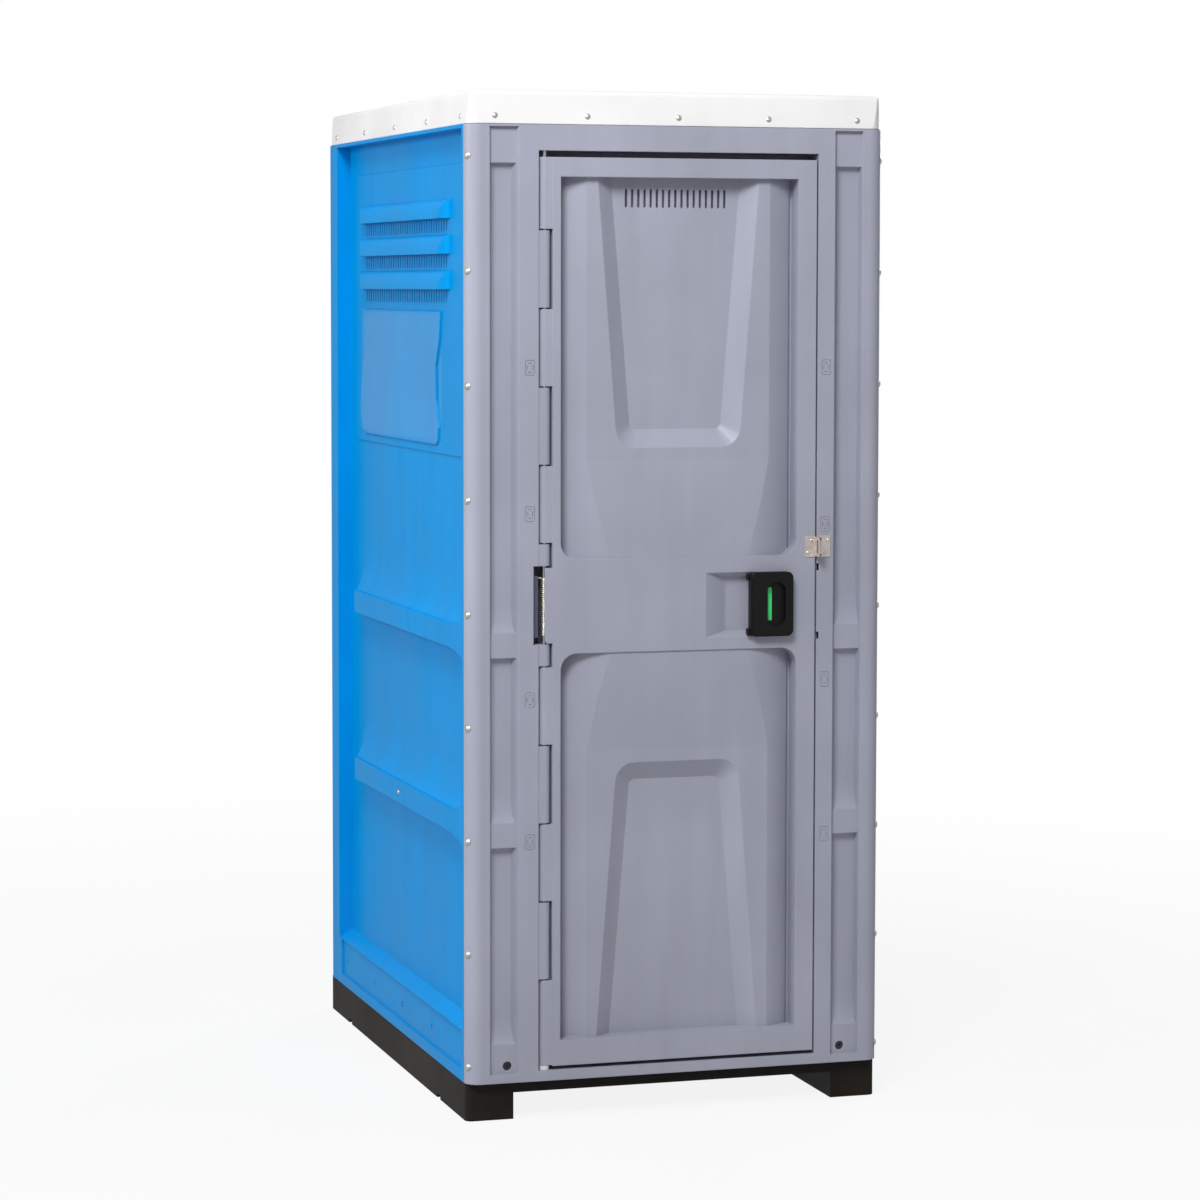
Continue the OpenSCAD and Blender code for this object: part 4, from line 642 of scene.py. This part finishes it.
class CABIN_OT_lock(bpy.types.Operator):
    """Occupancy lock: escutcheon, bolt, indicator tabs, inside knob and plate"""

    bl_idname = "cabin.lock"
    bl_label = "Lock"

    def execute(self, context):
        colours = context.scene.cabin_colours
        dress(black_nylon(), "lock_body", "lock_inner_plate", "latch_knob", "inner_pull")
        dress(metal("cast_zinc", linear("#D2D4D6"), rough=0.3, spacing=3 * MM), "latch_bolt")
        dress(indicator_acrylic("green_acrylic", colours.free), "indicator_green")
        dress(indicator_acrylic("red_acrylic", colours.taken), "indicator_red")
        return {"FINISHED"}


class CABIN_OT_hasp(bpy.types.Operator):
    """Hasp plates on the door and the frame"""

    bl_idname = "cabin.hasp"
    bl_label = "Hasp"

    def execute(self, context):
        nickel = metal("nickel_plate", linear("#E4D9D4"), rough=0.42, spacing=9 * MM, tarnish=0.12)
        dress(nickel, "hasp_door", "hasp_frame")
        return {"FINISHED"}


class CABIN_OT_jamb(bpy.types.Operator):
    """Door seal and strike plate"""

    bl_idname = "cabin.jamb"
    bl_label = "Seal and strike"

    def execute(self, context):
        dress(black_rubber("seal_rubber", "#141414"), "door_seal")
        steel = linear("#C4C6C9")
        brushed = metal("brushed_stainless", steel, rough=0.3, spacing=2 * MM, stretch=(1, 1, 0.06))
        dress(brushed, "strike_plate")
        return {"FINISHED"}


class CABIN_OT_shower(bpy.types.Operator):
    """Mixer, riser, arm, head and knobs in chrome, with the brass inlets and their marker rings"""

    bl_idname = "cabin.shower"
    bl_label = "Shower"

    def execute(self, context):
        chrome = metal("chrome_plate", linear("#DFE1E4"), rough=0.07, spacing=30 * MM, tarnish=0.08)
        names = ("mixer_body", "wall_flanges", "riser_pipe", "pipe_clips", "shower_arm")
        dress(chrome, *names, "flow_knob", "temp_knob", "shower_head")
        dress(black_rubber("nozzle_silicone", "#4A4C50"), "spray_nozzles")
        dress(threaded_brass(), "inlet_pipes")
        dress(indicator_acrylic("hot_ring_acrylic", linear("#C2201C")), "hot_ring")
        dress(indicator_acrylic("cold_ring_acrylic", linear("#1E52C0")), "cold_ring")
        return {"FINISHED"}


class CABIN_OT_shelf(bpy.types.Operator):
    """Soap shelf and hook rail"""

    bl_idname = "cabin.shelf"
    bl_label = "Shelf and hooks"

    def execute(self, context):
        folded = metal("folded_stainless", linear("#C4C6C8"), rough=0.3, spacing=2 * MM, stretch=(1, 0.05, 1))
        dress(folded, "soap_shelf", "hook_rail")
        return {"FINISHED"}


# Stage


def seen(tree):
    """1 for rays from the camera and through glass, less for gloss, 0 for light that falls on the cabin."""
    camera = add(tree, "LightPath", out="Is Camera Ray")
    through = add(tree, "LightPath", out="Is Transmission Ray")
    clear = add(tree, "Math", camera, through, operation="MAXIMUM")
    gloss = add(tree, "LightPath", out="Is Glossy Ray")
    # the photograph's sheet and metal show a background dimmer than white
    dimmed = add(tree, "Math", gloss, GLOSS_SHARE, operation="MULTIPLY")
    return add(tree, "Math", clear, dimmed, operation="MAXIMUM")


def pale_floor():
    """White studio floor that keeps the object's shadow near it, and fades to plain white with distance."""
    made, tree, place = new_material("studio_floor")
    mottle = add(tree, "TexNoise", place, sockets={"Scale": 1 / 0.4, "Detail": 3.0})
    mixed = add(tree, "MapRange", mottle, 0.3, 0.7, 0.0, 1.0)
    tone = add(tree, "MixRGB", mixed, linear("#D2D2D2"), linear("#CCCCCC"))
    paper = add(tree, "BsdfDiffuse", tone)
    lit = add(tree, "Emission", (1, 1, 1, 1), 1.0)
    away = add(tree, "VectorMath", place, out="Value", operation="LENGTH")
    white = add(tree, "MapRange", away, FLOOR_NEAR, FLOOR_FAR, FLOOR_WHITE, 1.0)
    share = add(tree, "Math", seen(tree), white, operation="MULTIPLY")
    surface = add(tree, "MixShader", share, paper, lit)
    add(tree, "OutputMaterial", surface)
    return made


def soft_box(name, place, aim, side, power, tint):
    """A square studio light aimed at a point."""
    bpy.ops.object.light_add(type="AREA", location=place)
    lamp = bpy.context.object
    lamp.name = name
    lamp.rotation_euler = (Vector(aim) - Vector(place)).to_track_quat("-Z", "Y").to_euler()
    lamp.data.size = side
    lamp.data.energy = power
    lamp.data.color = tint
    lamp.visible_camera = False


class CABIN_OT_stage(bpy.types.Operator):
    """Floor, backdrop light, soft boxes and camera"""

    bl_idname = "cabin.stage"
    bl_label = "Stage"

    def execute(self, context):
        scene = context.scene
        scene.view_settings.view_transform = "Standard"
        bpy.ops.object.select_all(action="DESELECT")
        bpy.ops.mesh.primitive_plane_add(size=scene.cabin_sizes.floor_size, location=(0, 0, -FLOOR_DROP))
        floor = context.object
        floor.name = "studio_floor"
        bpy.ops.object.transform_apply(location=True, rotation=True, scale=True)
        floor.data.materials.append(pale_floor())
        # gloss looks through the floor to the studio's pale walls
        floor.visible_glossy = False

        world = bpy.data.worlds.new("studio")
        scene.world = world
        world.use_nodes = True
        tree = world.node_tree
        tree.nodes.clear()
        strength = add(tree, "MapRange", seen(tree), 0.0, 1.0, WORLD_LIGHT, 1.0)
        add(tree, "OutputWorld", add(tree, "Background", (1, 1, 1, 1), strength))

        for box in SOFT_BOXES:
            soft_box(*box)

        bpy.ops.object.camera_add(location=CAMERA_PLACE)
        camera = context.object
        camera.name = "photo_camera"
        # turned from looking down to looking level at the door, then by the photograph's angles
        turn = Matrix.Rotation(-CAMERA_YAW, 3, "Z") @ Matrix.Rotation(pi / 2 + CAMERA_PITCH, 3, "X")
        camera.rotation_euler = (turn @ Matrix.Rotation(CAMERA_ROLL, 3, "Z")).to_euler()
        camera.data.lens = CAMERA_LENS
        camera.data.sensor_width = CAMERA_SENSOR
        camera.data.shift_y = CAMERA_SHIFT
        camera.data.clip_end = CAMERA_REACH
        scene.camera = camera
        return {"FINISHED"}


class CABIN_PT_panel(bpy.types.Panel):
    """The cabin's colours, sizes and steps"""

    bl_idname = "CABIN_PT_panel"
    bl_label = "Shower cabin"
    bl_space_type = "VIEW_3D"
    bl_region_type = "UI"
    bl_category = "Cabin"

    def draw(self, context):
        layout = self.layout
        for group in (context.scene.cabin_colours, context.scene.cabin_sizes):
            for name in group.bl_rna.properties.keys():
                if name not in ("rna_type", "name"):
                    layout.prop(group, name)
        for step in STEPS:
            layout.operator(step.bl_idname)


STEPS = (
    CABIN_OT_walls,
    CABIN_OT_front_frame,
    CABIN_OT_door,
    CABIN_OT_roof,
    CABIN_OT_base,
    CABIN_OT_tray,
    CABIN_OT_rivets,
    CABIN_OT_screws,
    CABIN_OT_hinge,
    CABIN_OT_spring,
    CABIN_OT_lock,
    CABIN_OT_hasp,
    CABIN_OT_jamb,
    CABIN_OT_shower,
    CABIN_OT_shelf,
    CABIN_OT_stage,
)
CLASSES = (CabinColours, CabinSizes, *STEPS, CABIN_PT_panel)


def register():
    for each in CLASSES:
        bpy.utils.register_class(each)
    bpy.types.Scene.cabin_colours = bpy.props.PointerProperty(type=CabinColours)
    bpy.types.Scene.cabin_sizes = bpy.props.PointerProperty(type=CabinSizes)


def unregister():
    del bpy.types.Scene.cabin_sizes
    del bpy.types.Scene.cabin_colours
    for each in reversed(CLASSES):
        bpy.utils.unregister_class(each)


def main():
    register()
    bpy.ops.cabin.walls()
    bpy.ops.cabin.front_frame()
    bpy.ops.cabin.door()
    bpy.ops.cabin.roof()
    bpy.ops.cabin.base()
    bpy.ops.cabin.tray()
    bpy.ops.cabin.rivets()
    bpy.ops.cabin.screws()
    bpy.ops.cabin.hinge()
    bpy.ops.cabin.spring()
    bpy.ops.cabin.lock()
    bpy.ops.cabin.hasp()
    bpy.ops.cabin.jamb()
    bpy.ops.cabin.shower()
    bpy.ops.cabin.shelf()
    bpy.ops.cabin.stage()


if __name__ == "__main__":
    main()
